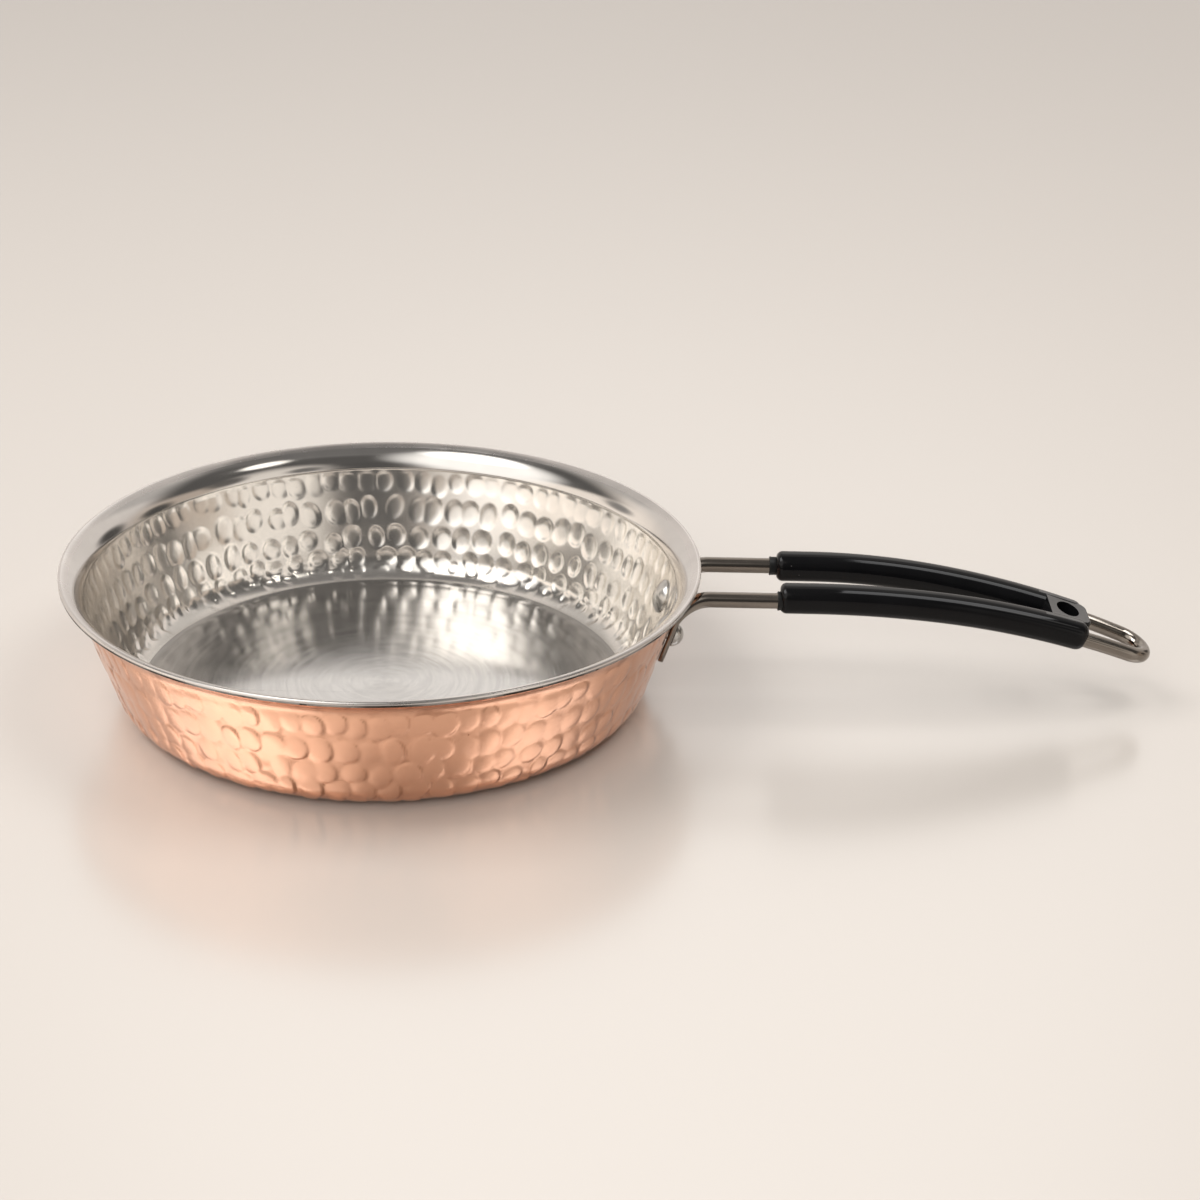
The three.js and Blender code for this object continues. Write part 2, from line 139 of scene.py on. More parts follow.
class Bench:
    """Modelling moves that several pieces share, each made with Blender's own operators."""

    AXIS_WELD = 1e-6
    WELD = 2e-6
    SLIVER = 1e-7

    @staticmethod
    def clear() -> None:
        """Leave nothing selected."""
        for item in bpy.context.scene.objects:
            item.select_set(False)

    @staticmethod
    def take(item: Piece) -> None:
        """Select one object alone and make it the active one.

        Args:
            item: The object.
        """
        Bench.clear()
        item.select_set(True)
        bpy.context.view_layer.objects.active = item

    @staticmethod
    def edit(select: str = "VERT") -> None:
        """Open the active object in edit mode, with all of it selected.

        Args:
            select: What is picked from then on: VERT, EDGE or FACE.
        """
        bpy.ops.object.mode_set(mode="EDIT")
        bpy.ops.mesh.select_mode(type=select)
        bpy.ops.mesh.select_all(action="SELECT")

    @staticmethod
    def started(name: str, primitive: Callable, **sizes: object) -> Piece:
        """Start a piece from a primitive.

        Args:
            name: Name of the piece.
            primitive: The operator that adds the primitive.
            sizes: What the operator is told.

        Returns:
            The new object.
        """
        Bench.clear()
        primitive(**sizes)
        item = bpy.context.object
        item.name = name
        item.data.name = name
        return item

    @staticmethod
    def turned(name: str, points: Sequence[Place], steps: int) -> Piece:
        """Draw a section as a line of edges in the XZ plane, and turn it about Z.

        Args:
            name: Name of the piece.
            points: Radius and height of each point of the section.
            steps: Number of faces round the piece.

        Returns:
            The turned piece, with its normals outwards.
        """
        item = Bench.started(name, bpy.ops.mesh.primitive_plane_add, size=MM)
        Bench.edit()
        bpy.ops.mesh.merge(type="CENTER")
        bpy.ops.transform.translate(value=(points[0][0] * MM, 0, points[0][1] * MM))
        for before, after in zip(points, points[1:]):
            step = ((after[0] - before[0]) * MM, 0, (after[1] - before[1]) * MM)
            bpy.ops.mesh.extrude_vertices_move(TRANSFORM_OT_translate={"value": step})
        bpy.ops.object.mode_set(mode="OBJECT")
        bpy.ops.object.modifier_add(type="SCREW")
        screw = item.modifiers[-1]
        screw.angle = 2 * math.pi
        screw.steps = steps
        screw.render_steps = steps
        screw.use_merge_vertices = True
        screw.merge_threshold = Bench.AXIS_WELD
        bpy.ops.object.modifier_apply(modifier=screw.name)
        Bench.close_up(item)
        return item

    @staticmethod
    def close_up(item: Piece) -> None:
        """Merge doubles, dissolve slivers and turn the normals outwards.

        Args:
            item: The piece.
        """
        Bench.take(item)
        Bench.edit()
        bpy.ops.mesh.remove_doubles(threshold=Bench.WELD)
        bpy.ops.mesh.dissolve_degenerate(threshold=Bench.SLIVER)
        bpy.ops.mesh.select_all(action="SELECT")
        bpy.ops.mesh.normals_make_consistent(inside=False)
        bpy.ops.object.mode_set(mode="OBJECT")

    @staticmethod
    def places(parts: bpy.types.bpy_prop_collection, what: str = "co") -> np.ndarray:
        """Where a mesh's vertices or faces lie.

        Args:
            parts: The vertices or the faces.
            what: Name of their place.

        Returns:
            Places in millimetres, one to a row.
        """
        flat = np.empty(len(parts) * 3)
        parts.foreach_get(what, flat)
        return flat.reshape(-1, 3) / MM

    @staticmethod
    def move_to(item: Piece, places: np.ndarray) -> None:
        """Put the piece's vertices at places in millimetres."""
        item.data.vertices.foreach_set("co", (places * MM).ravel())
        item.data.update()

    @staticmethod
    def swept(name: str, stations: Sequence[Station], sides: int) -> Piece:
        """Sweep a section through stations: a disc is drawn out into a straight bar, which is then bent.

        Args:
            name: Name of the piece.
            stations: Sections from one end to the other.
            sides: Number of points round the section, a multiple of four.

        Returns:
            A closed bar.
        """
        disc = {"vertices": sides, "radius": 1.0, "fill_type": "NGON"}
        bar = Bench.started(name, bpy.ops.mesh.primitive_circle_add, **disc)
        Bench.edit("FACE")
        for _ in stations[1:]:
            bpy.ops.mesh.extrude_region_move(TRANSFORM_OT_translate={"value": (0, 0, 1)})
        bpy.ops.object.mode_set(mode="OBJECT")
        straight = Bench.places(bar.data.vertices) * MM
        ring = np.rint(straight[:, 2]).astype(int)
        step = 2 * math.pi / sides
        around = np.rint(np.arctan2(straight[:, 1], straight[:, 0]) / step).astype(int) % sides
        Bench.move_to(bar, Bench.rings(stations, sides)[ring, around])
        Bench.edit()
        bpy.ops.mesh.fill_holes(sides=0)
        bpy.ops.object.mode_set(mode="OBJECT")
        Bench.close_up(bar)
        return bar

    @staticmethod
    def rings(stations: Sequence[Station], sides: int) -> np.ndarray:
        """Where the points of each section lie.

        Args:
            stations: Sections from one end to the other.
            sides: Number of points round the section.

        Returns:
            Places by station and by point, in millimetres.
        """
        turns = 2 * math.pi * np.arange(sides) / sides
        cos, sin = np.cos(turns), np.sin(turns)
        found = np.empty((len(stations), sides, 3))
        for i, station in enumerate(stations):
            before = stations[max(i - 1, 0)].centre
            after = stations[min(i + 1, len(stations) - 1)].centre
            along = (after - before).normalized()
            up = station.across.cross(along).normalized()
            side = np.array(along.cross(up))
            power = 2.0 / station.squareness
            wide = np.sign(cos) * np.abs(cos) ** power * station.half_width
            high = np.sign(sin) * np.abs(sin) ** power * station.half_height
            found[i] = np.array(station.centre) + wide[:, None] * side + high[:, None] * np.array(up)
        return found

    @staticmethod
    def combine(body: Piece, tool: Piece, cut: Cut) -> None:
        """Join a solid to a body, or take it away from it, and use the solid up.

        Args:
            body: The body.
            tool: The solid.
            cut: Whether it is joined or taken away.
        """
        Bench.take(body)
        bpy.ops.object.modifier_add(type="BOOLEAN")
        boolean = body.modifiers[-1]
        boolean.operation = cut.value
        boolean.solver = "EXACT"
        boolean.object = tool
        bpy.ops.object.modifier_apply(modifier=boolean.name)
        bpy.data.objects.remove(tool, do_unlink=True)

    @staticmethod
    def settle(item: Piece, place: Matrix) -> Piece:
        """Carry a piece made at the origin to its place, and keep the place in its mesh.

        Args:
            item: The piece.
            place: Its place, in metres.

        Returns:
            The piece.
        """
        Bench.take(item)
        item.matrix_world = place
        bpy.ops.object.transform_apply(location=True, rotation=True, scale=True)
        return item

    @staticmethod
    def finish(item: Piece, slot: Slot, node: str, crease: float, *finishes: Finish) -> None:
        """Dress a piece, hide the node it stands for, and let it ride on the body.

        Args:
            item: The finished piece.
            slot: Material slot of the record; not used.
            node: CAD node that the piece replaces.
            crease: Angle in degrees above which an edge stays sharp.
            finishes: Its finishes, the one that most faces have first.
        """
        for finish in finishes:
            item.data.materials.append(finish.material())
        Bench.take(item)
        bpy.ops.object.shade_smooth_by_angle(angle=math.radians(crease))
        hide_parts(node)
        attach(item, BODY)
        LOG.info("piece %s: %d faces", item.name, len(item.data.polygons))


@dataclass(frozen=True)
class Spots:
    """Places on the unrolled wall: turns about the axis, ways along the section, distances from the axis."""

    azimuth: np.ndarray
    along: np.ndarray
    radius: np.ndarray

    def only(self, shown: np.ndarray) -> Spots:
        """Some of the places alone."""
        return Spots(self.azimuth[shown], self.along[shown], self.radius[shown])

    def turned(self, step: float) -> Spots:
        """The places that lie a step further round the pan."""
        return Spots(self.azimuth + step / self.radius, self.along, self.radius)


@dataclass(frozen=True)
class PanSection:
    """The pan's section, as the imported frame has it: base, cove, straight wall and flared rim."""

    lip_radius: float = 119.98
    height: float = 53.46
    base_radius: float = 88.0
    cove_radius: float = 14.0
    flare_radius: float = 14.0
    lip_slope: float = math.radians(24)
    steel: float = 1.0
    copper: float = 0.8
    gap: float = 0.3
    hem: float = 2.0

    @property
    def wall(self) -> float:
        """Thickness of both sheets together."""
        return self.steel + self.gap + self.copper

    @property
    def inner_cove(self) -> float:
        """Radius of the cove on the cooking surface."""
        return self.cove_radius - self.wall

    @property
    def cove_centre(self) -> Place:
        """Centre of the rounding between base and wall."""
        return self.base_radius, self.cove_radius

    @property
    def edge_centre(self) -> Place:
        """Centre of the rounded edge of the rim."""
        return self.lip_radius - self.steel, self.height - self.steel

    @property
    def flare_centre(self) -> Place:
        """Centre of the flare.

        Returns:
            Its radius and height.
        """
        reach = self.flare_radius - self.steel
        radius, height = self.edge_centre
        return radius + reach * math.sin(self.lip_slope), height - reach * math.cos(self.lip_slope)

    @property
    def span(self) -> tuple[float, float, float]:
        """The way from the cove's centre to the flare's, which the straight wall crosses.

        Returns:
            Its run and rise, and the two radii together.
        """
        run = self.flare_centre[0] - self.cove_centre[0]
        rise = self.flare_centre[1] - self.cove_centre[1]
        return run, rise, self.cove_radius + self.flare_radius - self.wall

    @property
    def lean(self) -> float:
        """Lean of the straight wall, from upright."""
        run, rise, radii = self.span
        return math.acos(radii / math.hypot(run, rise)) - math.atan2(rise, run)

    @property
    def rim_edge(self) -> float:
        """Angle on the flare's circle at which the rim ends."""
        return math.pi / 2 + self.lip_slope

    @property
    def cove_length(self) -> float:
        """Length of the cove on the cooking surface."""
        return self.inner_cove * (math.pi / 2 - self.lean)

    @property
    def flange_line(self) -> float:
        """Way along the section where the straight wall ends and the flare starts."""
        run, rise, radii = self.span
        return self.cove_length + math.sqrt(run * run + rise * rise - radii * radii)

    def flared(self, turn: float) -> float:
        """Way along the section at a turn on the flare's circle."""
        return self.flange_line + self.flare_radius * (math.pi - self.lean - turn)

    def outside(self, height: float) -> float:
        """Radius of the shell's outside, at a height on the straight wall."""
        foot = self.base_radius + self.cove_radius / math.cos(self.lean)
        return foot + (height - self.cove_radius) * math.tan(self.lean)

    def at(self, along: float, depth: float) -> Place:
        """A point of the section.

        Args:
            along: Way along the cooking surface from the foot of the cove; negative on the floor.
            depth: Distance below the cooking surface.

        Returns:
            Radius and height.
        """
        if along < 0:
            return self.base_radius + along, self.wall - depth
        centre, radius, beyond = self.cove_centre, self.inner_cove + depth, 0.0
        if along < self.cove_length:
            turn = along / self.inner_cove - math.pi / 2
        elif along < self.flange_line:
            turn, beyond = -self.lean, along - self.cove_length
        else:
            centre, radius = self.flare_centre, self.flare_radius - depth
            turn = math.pi - self.lean - (along - self.flange_line) / self.flare_radius
        return (
            centre[0] + radius * math.cos(turn) + beyond * math.sin(self.lean),
            centre[1] + radius * math.sin(turn) + beyond * math.cos(self.lean),
        )

    def unroll(self, places: np.ndarray) -> tuple[Spots, np.ndarray]:
        """Where points lie on the section: the reverse of at.

        Args:
            places: The points, one to a row.

        Returns:
            Their places on the unrolled wall, and their depths below the cooking surface.
        """
        radius, height = np.hypot(places[:, 0], places[:, 1]), places[:, 2]
        run, rise = radius - self.cove_centre[0], height - self.cove_centre[1]
        along = self.inner_cove * (np.arctan2(rise, run) + math.pi / 2)
        depth = np.hypot(run, rise) - self.inner_cove
        start = self.at(self.cove_length, 0.0)
        beyond = (radius - start[0]) * math.sin(self.lean) + (height - start[1]) * math.cos(self.lean)
        out = (radius - start[0]) * math.cos(self.lean) - (height - start[1]) * math.sin(self.lean)
        on_wall = (beyond >= 0) & (radius > self.base_radius)
        along = np.where(on_wall, self.cove_length + beyond, along)
        depth = np.where(on_wall, out, depth)
        on_flare = on_wall & (beyond > self.flange_line - self.cove_length)
        run, rise = radius - self.flare_centre[0], height - self.flare_centre[1]
        along = np.where(on_flare, self.flared(np.arctan2(rise, run)), along)
        depth = np.where(on_flare, self.flare_radius - np.hypot(run, rise), depth)
        on_floor = radius <= self.base_radius
        along = np.where(on_floor, radius - self.base_radius, along)
        depth = np.where(on_floor, self.wall - height, depth)
        return Spots(np.arctan2(places[:, 1], places[:, 0]), along, radius), depth


@dataclass(frozen=True)
class BlowRow:
    """One row of hammer blows round the wall."""

    along: float
    count: int
    half_width: float
    half_height: float
    force: float


@dataclass(frozen=True)
class Blow:
    """One hammer blow, by its place on the unrolled wall."""

    azimuth: float
    along: float
    half_width: float
    half_height: float
    tilt: float
    depth: float
    lift: float
    skew_wide: float
    skew_high: float
    lean: float


@dataclass(frozen=True)
class BeatenFace:
    """How the blows show on one face of the wall: their spread, edges, hollows and steps.

    A fill of 0 gives a round hollow, and 1 a flat one with steep sides.
    """

    spread: float
    edge: float
    fill: float
    hollow: float
    step: float


STRUCK = BeatenFace(spread=1.0, edge=0.03, fill=0.85, hollow=0.9, step=0.0)
RAISED = BeatenFace(spread=1.22, edge=0.06, fill=0.3, hollow=0.73, step=1.0)


@dataclass
class HammerWork:
    """The blows that dish the wall from inside, through both sheets."""

    rows: tuple[BlowRow, ...] = (
        BlowRow(46.6, 92, 3.8, 4.7, 0.75),
        BlowRow(34.5, 80, 4.05, 5.1, 0.95),
        BlowRow(23.1, 71, 3.7, 4.7, 1.0),
        BlowRow(14.6, 70, 3.6, 4.1, 1.0),
        BlowRow(9.6, 64, 3.0, 2.6, 0.75),
    )
    depth: float = 0.42
    depth_spread: float = 0.18
    force_limits: Span = (0.55, 1.45)
    lift: float = 0.5
    lift_limits: Span = (0.1, 1.0)
    lean: float = 0.4
    skew: float = 0.22
    skew_limits: Span = (0.3, 1.7)
    spacing_drift: float = 0.11
    spacing_limits: Span = (-0.24, 0.24)
    size_spread: float = 0.09
    drift: float = 0.7
    tilt: float = 0.16
    step_edge: Span = (-0.12, 0.32)
    step_middle: float = 0.5
    step_slope: float = 0.5
    step_limits: Span = (0.0, 1.2)
    reach: float = 12.0
    seed: int = 24
    blows: list[Blow] = field(init=False)

    def __post_init__(self) -> None:
        """Set out the blows in staggered rows, a little uneven in place, size and force."""
        draw = np.random.default_rng(self.seed)
        self.blows = []
        for number, row in enumerate(self.rows):
            turn = 2 * math.pi / row.count
            for place in range(row.count):
                shift = float(np.clip(self.spacing_drift * draw.normal(), *self.spacing_limits))
                force = float(np.clip(1 + self.depth_spread * draw.normal(), *self.force_limits))
                self.blows.append(
                    Blow(
                        azimuth=turn * (place + number / 2 + shift),
                        along=row.along + self.drift * draw.normal(),
                        half_width=row.half_width * (1 + self.size_spread * draw.normal()),
                        half_height=row.half_height * (1 + self.size_spread * draw.normal()),
                        tilt=self.tilt * draw.normal(),
                        depth=self.depth * row.force * force,
                        lift=self.lift * draw.uniform(*self.lift_limits),
                        skew_wide=self.skew * draw.normal(),
                        skew_high=self.skew * draw.normal(),
                        lean=self.lean * draw.normal(),
                    )
                )

    def relief(self, spots: Spots, face: BeatenFace) -> np.ndarray:
        """How deep the blows have pressed the sheet at each place.

        Args:
            spots: The places.
            face: The face that is beaten.

        Returns:
            Depths in millimetres.
        """
        found = np.zeros_like(spots.azimuth)
        for blow in self.blows:
            turn = (spots.azimuth - blow.azimuth + math.pi) % (2 * math.pi) - math.pi
            across, climb = turn * spots.radius, spots.along - blow.along
            near = np.flatnonzero((np.abs(across) < self.reach) & (np.abs(climb) < self.reach))
            across, climb = across[near], climb[near]
            wide = across * math.cos(blow.tilt) + climb * math.sin(blow.tilt)
            high = climb * math.cos(blow.tilt) - across * math.sin(blow.tilt)
            wide, high = wide / (blow.half_width * face.spread), high / (blow.half_height * face.spread)
            share = wide * wide + high * high
            inside = (1 - share) * (1 + face.fill * np.minimum(share, 1.0))
            dish = 0.5 * (inside + np.sqrt(inside * inside + face.edge * face.edge))
            dish *= np.clip(1 + blow.skew_wide * wide + blow.skew_high * high, *self.skew_limits)
            slope = self.step_middle + self.step_slope * wide + blow.lean * high
            step = face.step * blow.lift * smooth(inside, *self.step_edge) * np.clip(slope, *self.step_limits)
            found[near] = np.maximum(found[near], face.hollow * blow.depth * dish + step)
        return found


class Sketch:
    """A node tree with short calls that add and join its nodes."""

    NOISE_ROUGHNESS = 0.55
    MIX_INPUTS = (0, 6, 7)
    MIX_OUTPUT = 2

    def __init__(self, tree: Tree) -> None:
        """Start from an empty tree."""
        self.tree = tree
        tree.nodes.clear()

    def add(self, kind: str, values: dict | None = None, **settings: object) -> Node:
        """Add a node.

        Args:
            kind: The node's type, without the word ShaderNode.
            values: Input values by socket name or number; a socket is linked.
            settings: The node's own settings.

        Returns:
            The new node.
        """
        node = self.tree.nodes.new(kind if kind.startswith("Node") else "ShaderNode" + kind)
        for name, value in settings.items():
            setattr(node, name, value)
        for name, value in (values or {}).items():
            if isinstance(value, Socket):
                self.tree.links.new(value, node.inputs[name])
            else:
                node.inputs[name].default_value = value
        return node

    def math(self, operation: str, *values: Value) -> Socket:
        """A sum of up to three numbers or sockets, by Blender's name of the operation."""
        return self.add("Math", dict(enumerate(values)), operation=operation).outputs[0]

    def ranged(self, value: Socket, low: Value, high: Value, first: Value = 0.0, last: Value = 1.0) -> Socket:
        """Map the range from low to high to the one from first to last, with a smooth ease."""
        inputs = {"Value": value, "From Min": low, "From Max": high, "To Min": first, "To Max": last}
        return self.add("MapRange", inputs, interpolation_type="SMOOTHSTEP").outputs["Result"]

    def mixed(self, share: Value, first: Value, second: Value) -> Socket:
        """Mix two colours.

        Args:
            share: Share of the second colour.
            first: Colour or socket.
            second: Colour or socket.

        Returns:
            The result's socket.
        """
        values = ((*value, 1.0) if isinstance(value, tuple) else value for value in (share, first, second))
        node = self.add("Mix", data_type="RGBA", values=dict(zip(self.MIX_INPUTS, values)))
        return node.outputs[self.MIX_OUTPUT]

    def noise(self, vector: Socket, scale: Value, detail: Value = 3.0) -> Socket:
        """Soft noise from 0 to 1, with a number of finer layers."""
        values = {"Vector": vector, "Scale": scale, "Detail": detail, "Roughness": self.NOISE_ROUGHNESS}
        return self.add("TexNoise", values).outputs["Fac"]

    def stretched(self, vector: Socket, scale: Colour, turn: Colour = (0, 0, 0)) -> Socket:
        """Coordinates that are scaled along each axis, and turned about each axis in radians."""
        return self.add("Mapping", {"Vector": vector, "Scale": scale, "Rotation": turn}).outputs[0]

    def round_axis(self, vector: Socket) -> tuple[Socket, Socket]:
        """Coordinates without their height, and their distance from the pan's axis."""
        flat = self.add("VectorMath", {0: vector, 1: (1, 1, 0)}, operation="MULTIPLY").outputs[0]
        return flat, self.add("VectorMath", {0: flat}, operation="LENGTH").outputs["Value"]


SPECK_SIZES = ("Scale", "Small", "Large", "Strength", "Patch Scale", "Patch Low", "Patch High")
PITS = dict(zip(SPECK_SIZES, (210.0, 0.05, 0.1, 0.8, 70.0, 0.6, 0.66)))
DUST = dict(zip(SPECK_SIZES, (260.0, 0.04, 0.08, 0.7, 95.0, 0.63, 0.68)))


class Wear:
    """Shared node groups for the marks that making and use leave on a surface.

    A set of scratches says how its noise is drawn out and turned, and how much of it shows.
    """

    SCRATCHES = (
        ((9, 900, 700), (0.2, 0.1, 0.5), (0.66, 0.8)),
        ((800, 12, 900), (0.1, 0.3, -0.4), (0.67, 0.8)),
    )
    SMUDGE_SCALE = 42.0
    SMUDGE_SHOWN = (0.35, 0.7)
    TONE_SHOWN = (0.3, 0.7)

    @staticmethod
    def started(name: str, inputs: Sequence[str], outputs: Sequence[str]) -> Sketch:
        """Start a group, with Vector as its first input.

        Args:
            name: Name of the group.
            inputs: Names of its other inputs, which are numbers.
            outputs: Names of its outputs, which are numbers.

        Returns:
            The group's tree.
        """
        tree = bpy.data.node_groups.new(name, "ShaderNodeTree")
        tree.interface.new_socket("Vector", in_out="INPUT", socket_type="NodeSocketVector")
        for label in inputs:
            tree.interface.new_socket(label, in_out="INPUT", socket_type="NodeSocketFloat")
        for label in outputs:
            tree.interface.new_socket(label, in_out="OUTPUT", socket_type="NodeSocketFloat")
        return Sketch(tree)

    @staticmethod
    def hairlines() -> Tree:
        """Fine wiping scratches and soft smudges.

        Returns:
            A group that adds both to a roughness, and gives the scratches' relief.
        """
        inputs = ("Base", "Smudge", "Lines", "Relief")
        sketch = Wear.started("hairlines", inputs, ("Roughness", "Height"))
        given = sketch.add("NodeGroupInput").outputs
        sets = []
        for scale, turn, shown in Wear.SCRATCHES:
            drawn = sketch.noise(sketch.stretched(given["Vector"], scale, turn), 1.0, 2.0)
            sets.append(sketch.ranged(drawn, *shown))
        lines = sketch.math("MAXIMUM", *sets)
        smudge = sketch.ranged(sketch.noise(given["Vector"], Wear.SMUDGE_SCALE, 4.0), *Wear.SMUDGE_SHOWN)
        rough = sketch.math("MULTIPLY_ADD", smudge, given["Smudge"], given["Base"])
        rough = sketch.math("MULTIPLY_ADD", lines, given["Lines"], rough)
        height = sketch.math("MULTIPLY", lines, given["Relief"])
        sketch.add("NodeGroupOutput", {"Roughness": rough, "Height": height})
        return sketch.tree

    @staticmethod
    def patches() -> Tree:
        """Soft patches of two tones.

        Returns:
            A group that gives the second tone's share.
        """
        sketch = Wear.started("patches", ("Scale", "Detail"), ("Tone",))
        given = sketch.add("NodeGroupInput").outputs
        cloud = sketch.noise(given["Vector"], given["Scale"], given["Detail"])
        sketch.add("NodeGroupOutput", {"Tone": sketch.ranged(cloud, *Wear.TONE_SHOWN)})
        return sketch.tree

    @staticmethod
    def specks() -> Tree:
        """Small round marks, here and there.

        Returns:
            A group that gives the marks' mask.
        """
        sketch = Wear.started("specks", SPECK_SIZES, ("Mask",))
        given = sketch.add("NodeGroupInput").outputs
        values = {"Vector": given["Vector"], "Scale": given["Scale"]}
        cells = sketch.add("TexVoronoi", values).outputs["Distance"]
        dots = sketch.ranged(cells, given["Small"], given["Large"], given["Strength"], 0.0)
        cloud = sketch.noise(given["Vector"], given["Patch Scale"], 1.0)
        rare = sketch.ranged(cloud, given["Patch Low"], given["Patch High"])
        sketch.add("NodeGroupOutput", {"Mask": sketch.math("MULTIPLY", dots, rare)})
        return sketch.tree


class Skin(Sketch):
    """A material's tree, and the colour, roughness and relief of its surface as far as they are made up."""

    colour: Socket
    rough: Socket
    height: Socket

    def __init__(self, tree: Tree) -> None:
        """Start from Object coordinates alone."""
        super().__init__(tree)
        self.coords = self.add("TexCoord").outputs["Object"]

    def group(self, build: Callable[[], Tree], values: dict[str, float]) -> bpy.types.bpy_prop_collection:
        """Outputs of a shared group, which is built once and placed here with its own values."""
        tree = bpy.data.node_groups.get(build.__name__) or build()
        return self.add("Group", {"Vector": self.coords, **values}, node_tree=tree).outputs

    def mark(
        self, mask: Socket, colour: Colour | None = None, rough: float = 0.0, height: float = 0.0
    ) -> None:
        """Lay a mark on the surface.

        Args:
            mask: Where the mark is.
            colour: Its colour, if it has one.
            rough: What it adds to the roughness.
            height: What it adds to the relief.
        """
        if colour:
            self.colour = self.mixed(mask, self.colour, colour)
        if rough:
            self.rough = self.math("MULTIPLY_ADD", mask, rough, self.rough)
        if height:
            self.height = self.math("MULTIPLY_ADD", mask, height, self.height)


@dataclass(frozen=True)
class Finish:
    """A finish of one surface: a colour in two tones, a gloss and how strongly use has marked it."""

    name: str
    colour: Colour
    roughness: float
    metallic: float = 1.0
    smudge: float = 0.05
    lines: float = 0.05
    relief: float = 0.02
    bump: float = 0.35
    tones: Span = (0.9, 1.0)
    patch_scale: float = 35.0
    patch_detail: float = 3.0

    def material(self) -> bpy.types.Material:
        """Build the material.

        Returns:
            A material with the finish's nodes.
        """
        material = bpy.data.materials.new(self.name)
        material.use_nodes = True
        skin = Skin(material.node_tree)
        marks = {"Base": self.roughness, "Smudge": self.smudge, "Lines": self.lines, "Relief": -self.relief}
        wear_and_shade_break = skin.group(Wear.hairlines, marks)
        skin.rough, skin.height = wear_and_shade_break["Roughness"], wear_and_shade_break["Height"]
        self.detail(skin)
        bump = skin.add("Bump", {"Strength": self.bump, "Distance": MM, "Height": skin.height})
        values = {"Base Color": skin.colour, "Roughness": skin.rough, "Normal": bump.outputs[0]}
        shader = skin.add("BsdfPrincipled", {"Metallic": self.metallic, **values})
        self.shade(skin, shader)
        skin.add("OutputMaterial", {"Surface": shader.outputs[0]})
        return material

    def toned(self, skin: Skin, share: Socket) -> Socket:
        """The finish's two tones, by the share of the second one."""
        first, second = (tuple(tone * part for part in self.colour) for tone in self.tones)
        return skin.mixed(share, first, second)

    def detail(self, skin: Skin) -> None:
        """Colour the surface in soft patches; other kinds of finish add their own marks."""
        patches = skin.group(Wear.patches, {"Scale": self.patch_scale, "Detail": self.patch_detail})
        skin.colour = self.toned(skin, patches["Tone"])

    def shade(self, skin: Skin, shader: Node) -> None:
        """Set what is the same all over the surface; a plain finish leaves it as it is."""


@dataclass(frozen=True)
class CopperFinish(Finish):
    """Polished copper, a little darker in the valleys, with painted shade on the bosses' steep edges."""

    tones: Span = (0.93, 1.06)
    patch_scale: float = 26.0
    patch_detail: float = 4.0
    # The valley colour darkens the oxide film, the pits, and the painted shade on steep boss edges.
    valley: Colour = (0.3, 0.12, 0.06)
    # Strength of the painted shade along the bosses' steep edges.
    tarnish: float = 0.62
    film: float = 0.55
    film_beat: Span = (0.02, 0.12)
    film_scale: float = 120.0
    film_shown: Span = (0.45, 0.75)
    pit_rough: float = 0.25
    pit_depth: float = 0.08

    def detail(self, skin: Skin) -> None:
        """Add an oxide film in the valleys, painted shade along the bosses' steep edges, and a few dark pits.

        Args:
            skin: The surface so far.
        """
        super().detail(skin)
        beat = skin.add("Attribute", attribute_name="beat").outputs["Fac"]
        cloud = skin.ranged(skin.noise(skin.coords, self.film_scale, 2.0), *self.film_shown)
        film = skin.ranged(beat, *self.film_beat, self.film, 0.0)
        skin.mark(skin.math("MULTIPLY", film, cloud), self.valley)
        # Painted shade: the crease attribute darkens the bosses' steep edges.
        crease = skin.add("Attribute", attribute_name="crease").outputs["Fac"]
        skin.mark(skin.math("MULTIPLY", crease, self.tarnish), self.valley)
        skin.mark(skin.group(Wear.specks, PITS)["Mask"], self.valley, self.pit_rough, -self.pit_depth)


@dataclass(frozen=True)
class LipFinish(Finish):
    """A turned-down steel lip with small dark nicks along its edge, and a line of painted shade along its
    foot.

    Foot and line are heights for the nicks and for the painted shade line, and face is a distance from the
    axis, over which a mark fades.
    """

    # Colour of the nicks, and of the painted shade line under the lip.
    nick: Colour = (0.04, 0.035, 0.03)
    foot: Span = (0.05185, 0.0524)
    line: Span = (0.05215, 0.0525)
    face: Span = (0.1193, 0.1197)
    nick_scale: float = 150.0
    nick_shown: Span = (0.56, 0.62)
    nick_rough: float = 0.3
    nick_depth: float = 0.1
    line_scale: float = 45.0
    line_shown: Span = (0.35, 0.6)
    line_least: float = 0.6

    def detail(self, skin: Skin) -> None:
        """Add the nicks, and the line of painted shade along the foot of the lip.

        Args:
            skin: The surface so far.
        """
        super().detail(skin)
        flat, reach = skin.round_axis(skin.coords)
        rise = skin.add("SeparateXYZ", {0: skin.coords}).outputs[2]
        outer = skin.ranged(reach, *self.face)
        spots = skin.ranged(skin.noise(flat, self.nick_scale), *self.nick_shown)
        low = skin.math("MULTIPLY", skin.ranged(rise, *self.foot, 1.0, 0.0), outer)
        nicks = skin.math("MULTIPLY", low, spots)
        # Painted shade: a dark line along the lip's foot, broken by noise.
        wear_and_shade_break = skin.ranged(skin.noise(flat, self.line_scale), *self.line_shown, 1.0, self.line_least)
        low = skin.math("MULTIPLY", skin.ranged(rise, *self.line, 1.0, 0.0), outer)
        skin.mark(skin.math("MAXIMUM", nicks, skin.math("MULTIPLY", low, wear_and_shade_break)), self.nick)
        skin.mark(nicks, rough=self.nick_rough, height=-self.nick_depth)


